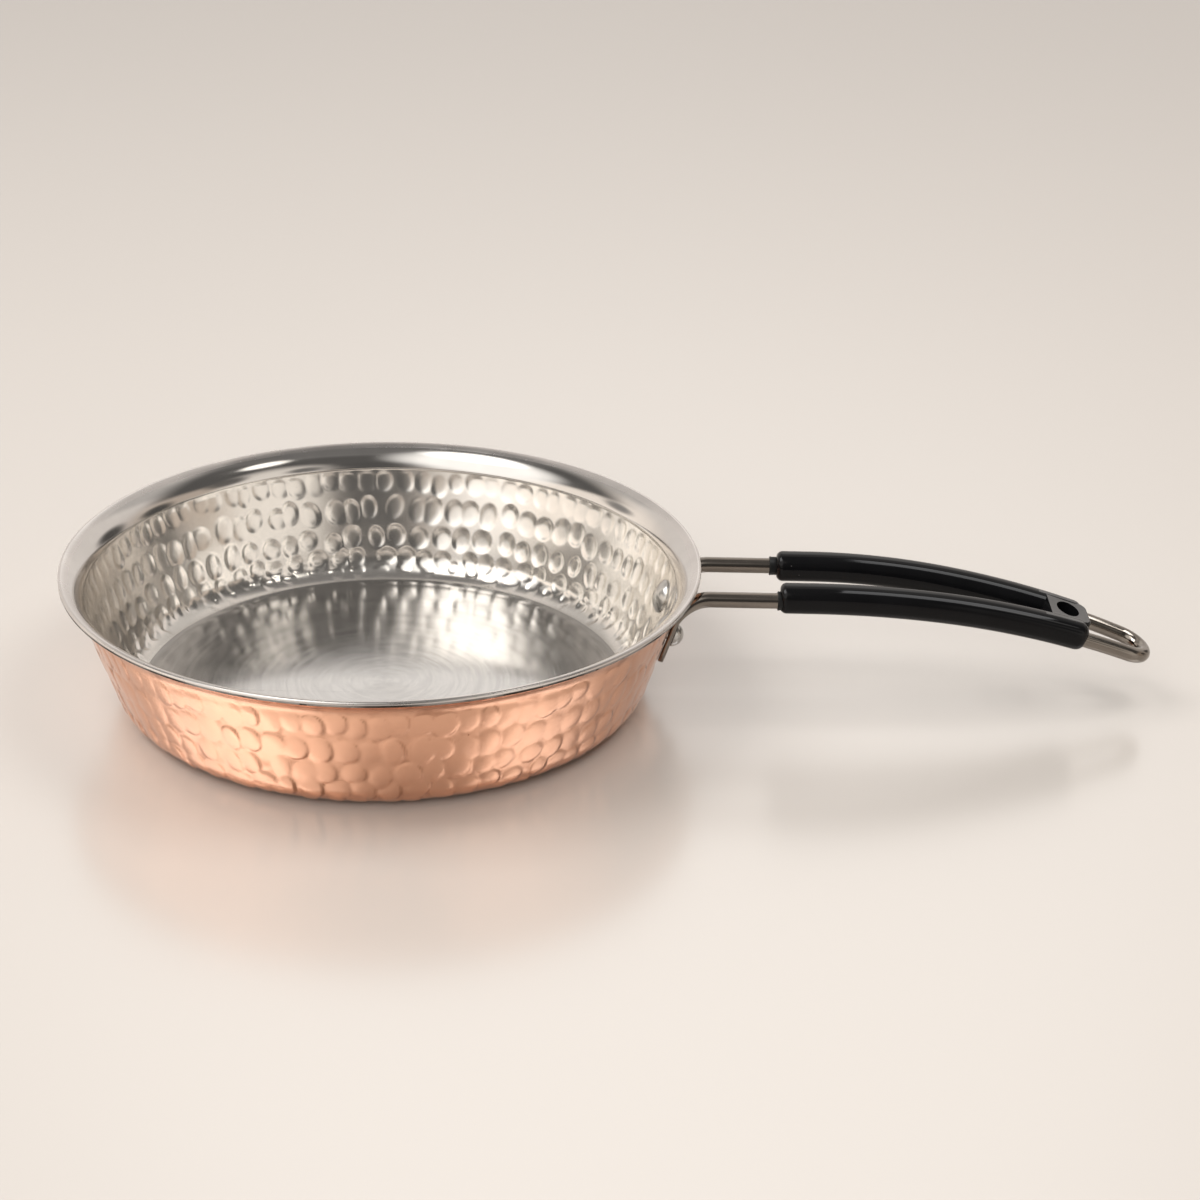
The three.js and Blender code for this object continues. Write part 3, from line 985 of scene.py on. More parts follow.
@dataclass(frozen=True)
class TurnedFinish(Finish):
    """Steel brushed on the lathe: fine rings round the pan's axis, broken into arcs.

    A pattern of arcs has one scale across the rings and one round them.
    """

    tones: Span = (0.88, 1.0)
    ring_scale: Span = (1500.0, 2.5)
    ring_depth: float = 0.0024
    band_scale: Span = (420.0, 1.6)
    band_share: float = 0.6
    band_rough: float = 0.06
    tone_shown: Span = (0.35, 0.65)
    scour_shown: Span = (0.62, 0.78)
    scour_rough: float = 0.1
    scour_depth: float = 0.0036
    middle: float = 0.0005
    anisotropy: float = 0.7
    gloss_turn: float = 0.25

    def arcs(self, skin: Skin, scale: Span, layers: float) -> Socket:
        """Noise that is drawn out round the pan's axis.

        Args:
            skin: The surface so far.
            scale: Scale across the rings and round them.
            layers: Number of finer layers.

        Returns:
            The noise's socket.
        """
        flat, reach = skin.round_axis(skin.coords)
        share = skin.math("DIVIDE", scale[1], skin.math("MAXIMUM", reach, self.middle))
        turn = skin.add("VectorMath", {0: flat, "Scale": share}, operation="SCALE").outputs[0]
        parts = skin.add("SeparateXYZ", {0: turn}).outputs
        across = skin.math("MULTIPLY", reach, scale[0])
        drawn = skin.add("CombineXYZ", {0: across, 1: parts[0], 2: parts[1]}).outputs[0]
        return skin.noise(drawn, 1.0, layers)

    def detail(self, skin: Skin) -> None:
        """Colour the surface in rings, with scouring arcs among them.

        Args:
            skin: The surface so far.
        """
        rings = self.arcs(skin, self.ring_scale, 3.0)
        bands = self.arcs(skin, self.band_scale, 2.0)
        tone = skin.math("MULTIPLY", rings, 1.0 - self.band_share)
        tone = skin.math("MULTIPLY_ADD", bands, self.band_share, tone)
        skin.colour = self.toned(skin, skin.ranged(tone, *self.tone_shown))
        skin.mark(rings, height=self.ring_depth)
        skin.mark(bands, rough=self.band_rough)
        skin.mark(skin.ranged(rings, *self.scour_shown), rough=self.scour_rough, height=-self.scour_depth)

    def shade(self, skin: Skin, shader: Node) -> None:
        """Stretch the gloss across the rings.

        Args:
            skin: The surface so far.
            shader: Its shader.
        """
        shader.inputs["Anisotropic"].default_value = self.anisotropy
        shader.inputs["Anisotropic Rotation"].default_value = self.gloss_turn
        tangent = skin.add("Tangent", direction_type="RADIAL", axis="Z")
        skin.tree.links.new(tangent.outputs[0], shader.inputs["Tangent"])


@dataclass(frozen=True)
class DrawnFinish(Finish):
    """Wire that was drawn through a die: fine lines along its length."""

    tones: Span = (0.86, 1.0)
    patch_scale: float = 90.0
    die_scale: Colour = (14, 1400, 1400)
    die_rough: float = 0.08
    die_depth: float = 0.012

    def detail(self, skin: Skin) -> None:
        """Add the drawing lines.

        Args:
            skin: The surface so far.
        """
        super().detail(skin)
        drawn = skin.noise(skin.stretched(skin.coords, self.die_scale), 1.0, 2.0)
        skin.mark(drawn, rough=self.die_rough, height=self.die_depth)


@dataclass(frozen=True)
class MouldedFinish(Finish):
    """Moulded plastic: a faint grain, and a few specks of dust."""

    metallic: float = 0.0
    tones: Span = (1.0, 1.35)
    patch_scale: float = 60.0
    grain: float = 0.005
    grain_scale: float = 900.0
    sheen: float = 0.18
    dust: Colour = (0.16, 0.15, 0.14)
    dust_rough: float = 0.4

    def detail(self, skin: Skin) -> None:
        """Add the dust and the grain.

        Args:
            skin: The surface so far.
        """
        super().detail(skin)
        skin.mark(skin.group(Wear.specks, DUST)["Mask"], self.dust, self.dust_rough)
        skin.mark(skin.noise(skin.coords, self.grain_scale, 2.0), height=self.grain)

    def shade(self, skin: Skin, shader: Node) -> None:
        """Keep the plastic's reflections low."""
        shader.inputs["Specular IOR Level"].default_value = self.sheen


COPPER = CopperFinish("beaten_copper", (0.85, 0.485, 0.325), 0.1, lines=0.04)
WALL_STEEL = Finish("beaten_steel", (0.9, 0.865, 0.82), 0.18, smudge=0.04, lines=0.04)
FLOOR_STEEL = TurnedFinish("turned_steel", (0.62, 0.605, 0.59), 0.105, smudge=0.04, relief=0.01)
RIM_STEEL = Finish("polished_rim", (0.74, 0.715, 0.69), 0.09, smudge=0.04)
# The lip's finish paints a line of shade along its foot.
LIP_STEEL = LipFinish("worn_and_shaded_lip", (0.78, 0.745, 0.72), 0.24, smudge=0.08, lines=0.1)
WIRE_STEEL = DrawnFinish("drawn_wire", (0.28, 0.25, 0.22), 0.06)
RIVET_STEEL = Finish("rivet_steel", (0.56, 0.545, 0.52), 0.15, smudge=0.08, lines=0.12)
GRIP_PLASTIC = MouldedFinish(
    "black_grip", (0.003, 0.003, 0.0033), 0.05, smudge=0.04, lines=0.06, relief=0.008
)
GRIP_FACE = MouldedFinish(
    "black_grip_face", (0.085, 0.082, 0.08), 0.5, smudge=0.06, grain=0.04, grain_scale=1600.0
)
SLEEVE_PLASTIC = MouldedFinish("black_sleeve", (0.009, 0.009, 0.009), 0.42, smudge=0.06, lines=0.04)


@dataclass
class Pan:
    """The copper shell and the steel liner."""

    section: PanSection = field(default_factory=PanSection)
    hammer: HammerWork = field(default_factory=HammerWork)
    segments: int = 950
    fine: float = 0.66
    floor_ring: float = 6.0
    cove_steps: int = 5
    band_low: float = 7.0
    band_high: float = 2.0
    step_points: tuple[float, ...] = (-1.1, -0.5, -0.25, 0.0, 0.25)
    step_depth: float = 0.22
    step_width: float = 0.5
    step_foot: float = 10.0
    flare_start: float = 1.0
    flare_steps: int = 8
    plain_steps: int = 3
    edge_steps: int = 6
    hem_bevel: float = 0.2
    face_slack: float = 0.05
    dent_fade: Span = (0.6, 2.4)
    boss_share: float = 0.8
    boss_start: float = 2.0
    boss_foot: Span = (3.0, 7.0)
    boss_fade: Span = (-1.0, 3.0)
    # Crease values set where the copper's painted shade lies on steep boss edges.
    crease_step: float = 0.6
    crease_slopes: Span = (0.1, 0.4)
    crease_foot: Span = (6.0, 9.0)
    floor_edge: float = 3.6
    lip_band: float = 3.2
    rivet_azimuth: float = math.radians(8.1)
    rivet_clear: Span = (8.0, 10.0)
    tab_clear_half: float = 6.3
    tab_clear_low: float = 12.5
    tab_clear_high: float = 10.0
    tab_fade: float = 2.5

    def struck_face(self, depth: float, end: float) -> list[Place]:
        """A face with points close enough for the hammer marks.

        Args:
            depth: Depth of the face below the cooking surface.
            end: Way along the section at which it ends.

        Returns:
            Points from the axis to the rim.
        """
        line = self.section.flange_line
        high = line - self.band_high
        ways = [-self.section.base_radius, -self.floor_ring]
        ways += list(np.linspace(0, self.band_low, self.cove_steps + 1)[:-1])
        ways += list(np.linspace(self.band_low, high, round((high - self.band_low) / self.fine)))
        ways += [line + way for way in self.step_points]
        ways += list(np.linspace(line + self.flare_start, end, self.flare_steps + 1))
        return [self.section.at(way, depth) for way in ways]

    def plain_face(self, depth: float, end: float) -> list[Place]:
        """A hidden face, from the axis to the rim.

        Args:
            depth: Depth of the face below the cooking surface.
            end: Way along the section at which it ends.

        Returns:
            Points from the axis to the rim.
        """
        cove = np.linspace(0, self.section.cove_length, self.plain_steps + 1)
        flare = np.linspace(self.section.flange_line, end, self.plain_steps + 1)
        return [self.section.at(way, depth) for way in [-self.section.base_radius, *cove, *flare]]

    def build_liner(self) -> Piece:
        """Turn the liner and dish its wall with the hammer.

        Returns:
            The liner.
        """
        section = self.section
        end = section.flared(section.rim_edge)
        edge = arc(section.edge_centre, section.steel, section.rim_edge, 0.0, self.edge_steps)
        foot = section.height - section.hem
        hem = [
            (section.lip_radius, foot + self.hem_bevel),
            (section.lip_radius - self.hem_bevel, foot),
            (section.edge_centre[0], foot),
        ]
        profile = self.struck_face(0.0, end) + edge[1:] + hem + self.plain_face(section.steel, end)[::-1]
        liner = Bench.turned("beaten_liner", profile, self.segments)
        places = Bench.places(liner.data.vertices)
        spots, depth = section.unroll(places)
        below = section.flange_line - spots.along
        shown = (np.abs(depth) < self.face_slack) & (spots.along > 0) & (below > -self.flare_start)
        pressed = np.zeros(len(places))
        pressed[shown] = self.hammer.relief(spots.only(shown), STRUCK)
        pressed *= smooth(below, *self.dent_fade) * self.clear_of_rivets(spots)
        step = self.step_depth * smooth(below, 0.0, self.step_width)
        step *= smooth(spots.along, 0.0, self.step_foot)
        self.press(liner, places, spots, pressed + np.where(shown, step, 0.0))
        return liner

    def build_shell(self) -> Piece:
        """Turn the shell and raise the bosses that the blows leave outside.

        Returns:
            The shell.
        """
        section = self.section
        outer = section.wall
        reach = section.edge_centre[0] - section.gap - section.flare_centre[0]
        end = section.flared(math.acos(reach / (section.flare_radius - outer)))
        profile = self.struck_face(outer, end) + self.plain_face(outer - section.copper, end)[::-1]
        shell = Bench.turned("beaten_shell", profile, self.segments)
        places = Bench.places(shell.data.vertices)
        spots, depth = section.unroll(places)
        shown = (np.abs(depth - outer) < self.face_slack) & (spots.along > self.boss_start)
        clear = self.clear_of_tabs(spots)
        raised = np.zeros(len(places))
        raised[shown] = self.hammer.relief(spots.only(shown), RAISED)
        raised *= smooth(section.flange_line - spots.along, *self.boss_fade) * clear
        raised *= smooth(spots.along, *self.boss_foot)
        steep = np.zeros(len(places))
        steep[shown] = self.creases(spots.only(shown))
        self.mark(shell, "beat", raised / self.hammer.depth)
        # The crease attribute tells the copper's finish where to paint shade on steep boss edges.
        self.mark(shell, "crease", steep * smooth(spots.along, *self.crease_foot) * clear)
        self.press(shell, places, spots, self.boss_share * raised)
        return shell

    def from_rivet(self, spots: Spots, side: Side) -> tuple[np.ndarray, np.ndarray]:
        """Where places lie from a rivet, on the unrolled wall.

        Args:
            spots: The places.
            side: The leg that the rivet holds.

        Returns:
            Distances across and distances up from the rivet.
        """
        height = self.section.height - RIVET_DROP
        rivet, _ = self.section.unroll(np.array([[self.section.outside(height), 0.0, height]]))
        across = (spots.azimuth - side.value * self.rivet_azimuth) * spots.radius
        return across, spots.along - rivet.along[0]

    def clear_of_rivets(self, spots: Spots) -> np.ndarray:
        """Leave the sheet plain under each rivet's head.

        Args:
            spots: Places on the wall.

        Returns:
            Share of the blows that is kept, from 0 to 1.
        """
        kept = np.ones_like(spots.azimuth)
        for side in Side:
            kept *= smooth(np.hypot(*self.from_rivet(spots, side)), *self.rivet_clear)
        return kept

    def clear_of_tabs(self, spots: Spots) -> np.ndarray:
        """Leave the sheet plain under the handle's tabs.

        Args:
            spots: Places on the wall.

        Returns:
            Share of the blows that is kept, from 0 to 1.
        """
        kept = np.ones_like(spots.azimuth)
        for side in Side:
            across, up = self.from_rivet(spots, side)
            climb = np.maximum(-up - self.tab_clear_low, up - self.tab_clear_high)
            kept *= smooth(np.maximum(np.abs(across) - self.tab_clear_half, climb), 0.0, self.tab_fade)
        return kept

    def press(self, item: Piece, places: np.ndarray, spots: Spots, out: np.ndarray) -> None:
        """Move points out of the pan along the wall's normal.

        Args:
            item: The sheet.
            places: Its points.
            spots: The points on the unrolled wall.
            out: How far each goes.
        """
        section = self.section
        cove = spots.along / section.inner_cove - math.pi / 2
        flare = -section.lean - (spots.along - section.flange_line) / section.flare_radius
        dip = np.where(spots.along < section.cove_length, cove, -section.lean)
        dip = np.where(spots.along > section.flange_line, flare, dip)
        ways = (np.cos(dip) * np.cos(spots.azimuth), np.cos(dip) * np.sin(spots.azimuth), np.sin(dip))
        Bench.move_to(item, places + out[:, None] * np.stack(ways, axis=1))

    def creases(self, spots: Spots) -> np.ndarray:
        """How steeply the bosses end at each place, where the copper's finish paints shade.

        Args:
            spots: Places on the shell's outside.

        Returns:
            Steepness from 0 to 1.
        """
        step = self.crease_step
        before, after = (self.hammer.relief(spots.turned(way), RAISED) for way in (-step, step))
        return smooth(np.abs(after - before) / (2 * step), *self.crease_slopes)

    @staticmethod
    def mark(item: Piece, name: str, values: np.ndarray) -> None:
        """Keep values with the mesh, for the finish to read."""
        layer = item.data.attributes.new(name, "FLOAT", "POINT")
        layer.data.foreach_set("value", np.clip(values, 0, 1).astype(np.float32))

    def dress_liner(self, liner: Piece) -> None:
        """Give wall, floor, rim and lip their own finishes.

        Args:
            liner: The liner.
        """
        finishes = (WALL_STEEL, FLOOR_STEEL, RIM_STEEL, LIP_STEEL)
        Bench.finish(liner, Slot.LINER, "steel_liner", 40, *finishes)
        faces = liner.data.polygons
        spots, _ = self.section.unroll(Bench.places(faces, "center"))
        index = np.zeros(len(faces), dtype=np.int32)
        index[spots.along < self.floor_edge] = 1
        index[spots.along > self.section.flange_line] = 2
        index[spots.radius > self.section.lip_radius - self.lip_band] = 3
        faces.foreach_set("material_index", index)

    def make(self) -> Piece:
        """Build and dress both sheets.

        Returns:
            The liner.
        """
        liner = self.build_liner()
        self.dress_liner(liner)
        Bench.finish(self.build_shell(), Slot.COPPER, "copper_shell", 40, COPPER)
        return liner


@dataclass
class Handle:
    """The bent wire, its black grip and the sleeves at the grip's mouths."""

    pan: PanSection = field(default_factory=PanSection)
    wire_radius: float = 2.96
    leg_half: float = 16.0
    leg_drop: float = 7.2
    level_start: float = 3.5
    level_length: float = 38.0
    droop_radius: float = 336.0
    narrow_radius: float = 660.0
    narrow_length: float = 50.0
    sweep_length: float = 122.8
    tab_half: float = 6.0
    tab_thick: float = 2.2
    tab_squareness: float = 5.0
    tab_length: float = 17.5
    tab_drop: float = 16.0
    tab_gap: float = 0.3
    bend_rise: float = 5.0
    bend_run: float = 7.0
    arm_radius: float = 5.6
    arm_squareness: float = 2.3
    arm_shift: float = 1.3
    arm_lift: float = 0.6
    arm_start: float = 29.2
    arm_length: float = 117.8
    mouth_round: float = 2.4
    end_round: float = 4.0
    block_length: float = 16.0
    block_overhang: float = 0.5
    block_step: float = 0.2
    block_slope: float = 2.6
    block_corner: float = 3.6
    block_bevel: float = 0.8
    block_far: float = 0.4
    upright: float = 0.9
    face_margin: float = 1.0
    face_level: float = 0.995
    face_slack: float = 0.4
    hole_half_length: float = 4.4
    hole_half_width: float = 6.0
    hole_setback: float = 8.6
    bore_clearance: float = 0.3
    bore_step: float = 0.01
    sleeve_wall: float = 0.45
    sleeve_clearance: float = 0.2
    sleeve_depth: float = 6.0
    sleeve_bevel: float = 0.1
    sleeve_roll: float = 0.15
    sleeve_lip: float = 0.45
    sleeve_neck: float = 0.12
    sleeve_front: float = 1.0
    sleeve_rear: float = 2.6
    wire_sides: int = 32
    arm_sides: int = 48
    sleeve_sides: int = 48
    hole_sides: int = 64
    tab_end_steps: int = 11
    tab_steps: int = 5
    bend_steps: int = 18
    level_steps: int = 11
    sweep_steps: int = 40
    eye_steps: int = 18
    mouth_steps: int = 8
    end_steps: int = 10
    arm_steps: int = 55
    socket_steps: int = 4
    bore_steps: int = 44
    corner_steps: int = 8
    bevel_steps: int = 4

    @property
    def leg_height(self) -> float:
        """Height of the level legs."""
        return self.pan.height - self.leg_drop

    @property
    def leg_start(self) -> float:
        """Where the level legs start, beyond the lip."""
        return self.pan.lip_radius + self.level_start

    @property
    def sweep_start(self) -> float:
        """Where the legs start to droop."""
        return self.leg_start + self.level_length

    @property
    def slant(self) -> float:
        """Slant of the legs, seen from above, past their inward sweep."""
        return math.asin(self.narrow_length / self.narrow_radius)

    @property
    def mouth(self) -> float:
        """Reach of the grip's mouths."""
        return self.arm_start - self.level_start - self.level_length

    @property
    def arm_end(self) -> float:
        """Reach of the ends of the grip's arms."""
        return self.mouth + self.arm_length

    @property
    def block_end(self) -> float:
        """Reach of the end of the grip's block."""
        return self.arm_end + self.block_overhang

    @property
    def tab_top(self) -> float:
        """Height of the tabs' upper ends."""
        return self.pan.height - self.tab_drop

    @property
    def tab_middle(self) -> float:
        """Distance of the tab's middle from the shell."""
        return self.tab_gap + self.tab_thick / 2

    @property
    def tab_azimuth(self) -> float:
        """Turn of each tab about the pan's axis."""
        return math.asin(self.leg_half / self.on_wall(self.tab_top, self.tab_middle, 0.0).x)

    def on_wall(self, height: float, out: float, azimuth: float) -> Vector:
        """A place at the wall.

        Args:
            height: Height on the shell's outside.
            out: Distance from there along the wall's normal.
            azimuth: Turn about the pan's axis.

        Returns:
            The place.
        """
        lean = self.pan.lean
        radius = self.pan.outside(height) + out * math.cos(lean)
        return Vector((radius * math.cos(azimuth), radius * math.sin(azimuth), height - out * math.sin(lean)))

    def on_handle(self, reach: float, across: float, lift: float = 0.0) -> Vector:
        """A place on the handle.

        Args:
            reach: Way along the wire from where it starts to droop.
            across: Distance from the middle plane.
            lift: Height above the wire's centre.

        Returns:
            The place.
        """
        turn = max(reach, 0.0) / self.droop_radius
        radius = self.droop_radius + lift
        x = self.sweep_start + min(reach, 0.0) + radius * math.sin(turn)
        return Vector((x, across, self.leg_height - self.droop_radius + radius * math.cos(turn)))

    def leg_offset(self, reach: float) -> float:
        """Distance of a leg's centre from the middle plane.

        Args:
            reach: Way along the wire from where it starts to droop.

        Returns:
            The distance.
        """
        run = min(max(reach, 0.0), self.narrow_length)
        bow = self.narrow_radius - math.sqrt(self.narrow_radius**2 - run * run)
        return self.leg_half - bow - max(reach - self.narrow_length, 0.0) * math.tan(self.slant)

    @staticmethod
    def level_bar(centre: Vector, radius: float, squareness: float = 2.0) -> Station:
        """A section of the front leg that isn't rolled to either side."""
        return Station(centre, Vector((0, -1, 0)), radius, radius, squareness)

    def tab_stations(self) -> list[Station]:
        """The front leg's flat tab.

        Returns:
            Sections from its round lower end up.
        """
        azimuth = -self.tab_azimuth
        side = Vector((math.sin(azimuth), -math.cos(azimuth), 0))
        spots = arc((self.tab_half, 0), self.tab_half, math.pi, math.pi / 2, self.tab_end_steps)[1:]
        runs = np.linspace(self.tab_half, self.tab_length, self.tab_steps + 1)[1:]
        found = []
        for run, half in spots + [(run, self.tab_half) for run in runs]:
            height = self.tab_top - (self.tab_length - run) * math.cos(self.pan.lean)
            centre = self.on_wall(height, self.tab_middle, azimuth)
            found.append(Station(centre, side, half, self.tab_thick / 2, self.tab_squareness))
        return found

    def bend_stations(self, tab: Station) -> list[Station]:
        """The bend from the tab out to the level leg.

        Args:
            tab: The tab's upper end.

        Returns:
            Sections up to the level leg.
        """
        start = tab.centre
        climb = (self.on_wall(self.tab_top + 1, self.tab_middle, -self.tab_azimuth) - start).normalized()
        end = Vector((self.leg_start, -self.leg_half, self.leg_height))
        first, second = start + climb * self.bend_rise, end - Vector((self.bend_run, 0, 0))
        leg = self.level_bar(end, self.wire_radius)
        found = []
        for t in np.linspace(0, 1, self.bend_steps + 1)[1:]:
            s = 1 - t
            centre = start * s**3 + first * (3 * s * s * t) + second * (3 * s * t * t) + end * t**3
            ease = t * t * (3 - 2 * t)
            sizes = [flat + (full - flat) * ease for flat, full in zip(tab.sizes, leg.sizes)]
            found.append(Station(centre, tab.across.lerp(leg.across, t), *sizes))
        return found

    def leg_stations(self, start: float, end: float, steps: int, radius: float) -> list[Station]:
        """Round sections of the front leg, in equal steps from one reach to another."""
        ways = np.linspace(start, end, steps + 1)
        return [self.level_bar(self.on_handle(way, -self.leg_offset(way)), radius) for way in ways]

    def eye_stations(self) -> list[Station]:
        """The front half of the eye, up to its tip.

        Returns:
            Its sections.
        """
        radius = self.leg_offset(self.sweep_length) / math.cos(self.slant)
        middle = self.sweep_length - radius * math.sin(self.slant)
        start = self.slant - math.pi / 2
        found = []
        for i in range(1, self.eye_steps + 1):
            angle = start * (1 - i / self.eye_steps)
            centre = self.on_handle(middle + radius * math.cos(angle), radius * math.sin(angle))
            across = centre - self.on_handle(middle, 0.0)
            found.append(Station(centre, across, self.wire_radius, self.wire_radius))
        return found

    def build_wire(self) -> Piece:
        """Sweep the wire from one tab round the eye to the other.

        Returns:
            The wire.
        """
        front = self.tab_stations()
        front += self.bend_stations(front[-1])
        for x in np.linspace(self.leg_start, self.sweep_start, self.level_steps + 1)[1:-1]:
            front.append(self.level_bar(Vector((x, -self.leg_half, self.leg_height)), self.wire_radius))
        front += self.leg_stations(0, self.sweep_length, self.sweep_steps, self.wire_radius)
        front += self.eye_stations()
        rear = [station.mirrored() for station in front[:-1][::-1]]
        return Bench.swept("bent_wire", front + rear, self.wire_sides)

    def arm_stations(self) -> list[Station]:
        """The grip's front arm, with a small round at its mouth and a fuller one at its end.

        Returns:
            Its sections.
        """
        small, full = self.mouth_round, self.end_round
        mouth = arc((small, small), small, -math.pi, -math.pi / 2, self.mouth_steps)
        end = arc((full, full), full, -math.pi / 2, -math.pi, self.end_steps)
        body = np.linspace(self.mouth + small, self.arm_end - full, self.arm_steps + 1)[1:-1]
        spots = [(self.mouth + x, y) for x, y in mouth]
        spots += [(reach, 0.0) for reach in body]
        spots += [(self.arm_end - x, y) for x, y in end]
        found = []
        for reach, inset in spots:
            centre = self.on_handle(reach, self.arm_shift - self.leg_offset(reach), self.arm_lift)
            found.append(self.level_bar(centre, self.arm_radius - inset, self.arm_squareness))
        return found

    def build_block(self) -> Piece:
        """The block between the arms' ends, from a cube that is tapered and rounded.

        Returns:
            The block in its place.
        """
        start = self.block_end - self.block_length
        wide = self.leg_offset(start) - self.arm_shift
        narrow = self.leg_offset(self.arm_end - self.end_round) - self.arm_shift
        height = 2 * (self.arm_radius - self.block_step)
        sizes = (self.block_length * MM, 2 * wide * MM, height * MM)
        block = Bench.started("grip_block", bpy.ops.mesh.primitive_cube_add, size=1, scale=sizes)
        far = self.block_far * self.block_length
        self.pick(block, lambda middle, upright: middle.x < -far and middle.z < 0 and not upright)
        bpy.ops.transform.translate(value=(-self.block_slope * MM, 0, 0))
        self.pick(block, lambda middle, upright: middle.x > far and upright)
        bpy.ops.transform.resize(value=(1, narrow / wide, 1))
        bpy.ops.mesh.bevel(offset=self.block_corner * MM, segments=self.corner_steps, affect="EDGES")
        self.pick(block, lambda middle, upright: middle.x > -far and not upright)
        bpy.ops.mesh.bevel(offset=self.block_bevel * MM, segments=self.bevel_steps, affect="EDGES")
        bpy.ops.object.mode_set(mode="OBJECT")
        return Bench.settle(block, self.slab_place((start + self.block_end) / 2))

    def slab_place(self, reach: float) -> Matrix:
        """Place of a slab that is square to the handle at a reach."""
        turn = Matrix.Rotation(reach / self.droop_radius, 4, "Y")
        return Matrix.Translation(self.on_handle(reach, 0.0, self.arm_lift) * MM) @ turn

    def pick(self, item: Piece, wanted: Callable[[Vector, bool], bool]) -> None:
        """Select a mesh's edges, in edit mode.

        Args:
            item: The piece.
            wanted: Whether an edge is selected, by its middle in millimetres and whether it is upright.
        """
        Bench.edit("EDGE")
        bpy.ops.mesh.select_all(action="DESELECT")
        bpy.ops.object.mode_set(mode="OBJECT")
        for edge in item.data.edges:
            first, second = (item.data.vertices[i].co / MM for i in edge.vertices)
            run = second - first
            edge.select = wanted((first + second) / 2, abs(run.z) > self.upright * run.length)
        bpy.ops.object.mode_set(mode="EDIT")

    def build_hole(self) -> Piece:
        """The oval hole's cutter.

        Returns:
            An oval bar through the block.
        """
        hole = Bench.started(
            "grip_hole",
            bpy.ops.mesh.primitive_cylinder_add,
            vertices=self.hole_sides,
            radius=MM,
            depth=4 * self.arm_radius * MM,
            scale=(self.hole_half_length, self.hole_half_width, 1),
        )
        return Bench.settle(hole, self.slab_place(self.block_end - self.hole_setback))

    def build_grip(self) -> Piece:
        """Join the arms and the block, and cut the hole and the bores.

        Returns:
            The grip.
        """
        arms = self.arm_stations()
        grip = Bench.swept("moulded_grip", arms, self.arm_sides)
        other = [station.mirrored() for station in arms[::-1]]
        Bench.combine(grip, Bench.swept("grip_arm", other, self.arm_sides), Cut.JOIN)
        Bench.combine(grip, self.build_block(), Cut.JOIN)
        Bench.combine(grip, self.build_hole(), Cut.TAKE)
        bore = self.wire_radius + self.bore_clearance
        socket = self.wire_radius + 2 * self.sleeve_clearance + self.sleeve_wall
        deep = self.mouth + self.sleeve_depth + self.sleeve_clearance
        end = self.arm_end + self.end_round
        bores = self.leg_stations(self.mouth - self.mouth_round, deep, self.socket_steps, socket)
        bores += self.leg_stations(deep + self.bore_step, end, self.bore_steps, bore)
        for stations in (bores, [station.mirrored() for station in bores[::-1]]):
            Bench.combine(grip, Bench.swept("grip_bore", stations, self.wire_sides), Cut.TAKE)
        return grip

    def dress_grip(self, grip: Piece) -> None:
        """Gloss all over, with a duller flat top on the block.

        Args:
            grip: The grip.
        """
        Bench.finish(grip, Slot.GRIP, "grip", 32, GRIP_PLASTIC, GRIP_FACE)
        start = self.on_handle(self.arm_end - self.block_length, 0).x - self.face_margin
        turn = (self.arm_end - self.block_length / 2) / self.droop_radius
        up = Vector((math.sin(turn), 0, math.cos(turn)))
        least = self.arm_radius - 2 * self.block_step - self.face_slack
        for face in grip.data.polygons:
            centre = face.center / MM
            if centre.x > start and face.normal.dot(up) > self.face_level:
                reach = math.asin((centre.x - self.sweep_start) / self.droop_radius)
                crest = self.on_handle(self.droop_radius * reach, 0, self.arm_lift)
                if (centre - crest).dot(up) > least:
                    face.material_index = 1

    def build_sleeve(self, side: Side, shown: float) -> Piece:
        """A sleeve with a small rolled lip, turned and laid along a leg.

        Args:
            side: The leg.
            shown: How far it stands out of the arm.

        Returns:
            The sleeve.
        """
        inner = self.wire_radius + self.sleeve_clearance
        outer = inner + self.sleeve_wall
        neck = outer - self.sleeve_neck
        low, high = -shown, self.sleeve_depth
        section = [
            (inner, high),
            (inner, low + self.sleeve_bevel),
            (inner + self.sleeve_bevel, low),
            (outer - self.sleeve_roll, low),
            (outer, low + self.sleeve_roll),
            (outer, low + self.sleeve_lip),
            (neck, low + self.sleeve_lip + self.sleeve_roll),
            (neck, high),
            (inner, high),
        ]
        sleeve = Bench.turned(f"sleeve_{side.name.lower()}_neck", section, self.sleeve_sides)
        turn = Matrix.Rotation(math.pi / 2, 4, "Y")
        place = Vector((self.pan.lip_radius + self.arm_start, side.value * self.leg_half, self.leg_height))
        return Bench.settle(sleeve, Matrix.Translation(place * MM) @ turn)

    def make(self) -> None:
        """Build and dress the wire, the grip and the sleeves."""
        Bench.finish(self.build_wire(), Slot.WIRE, "wire_handle", 50, WIRE_STEEL)
        self.dress_grip(self.build_grip())
        for side, shown in ((Side.FRONT, self.sleeve_front), (Side.REAR, self.sleeve_rear)):
            sleeve = self.build_sleeve(side, shown)
            Bench.finish(sleeve, Slot.SLEEVE, f"sleeve_{side.name.lower()}", 40, SLEEVE_PLASTIC)


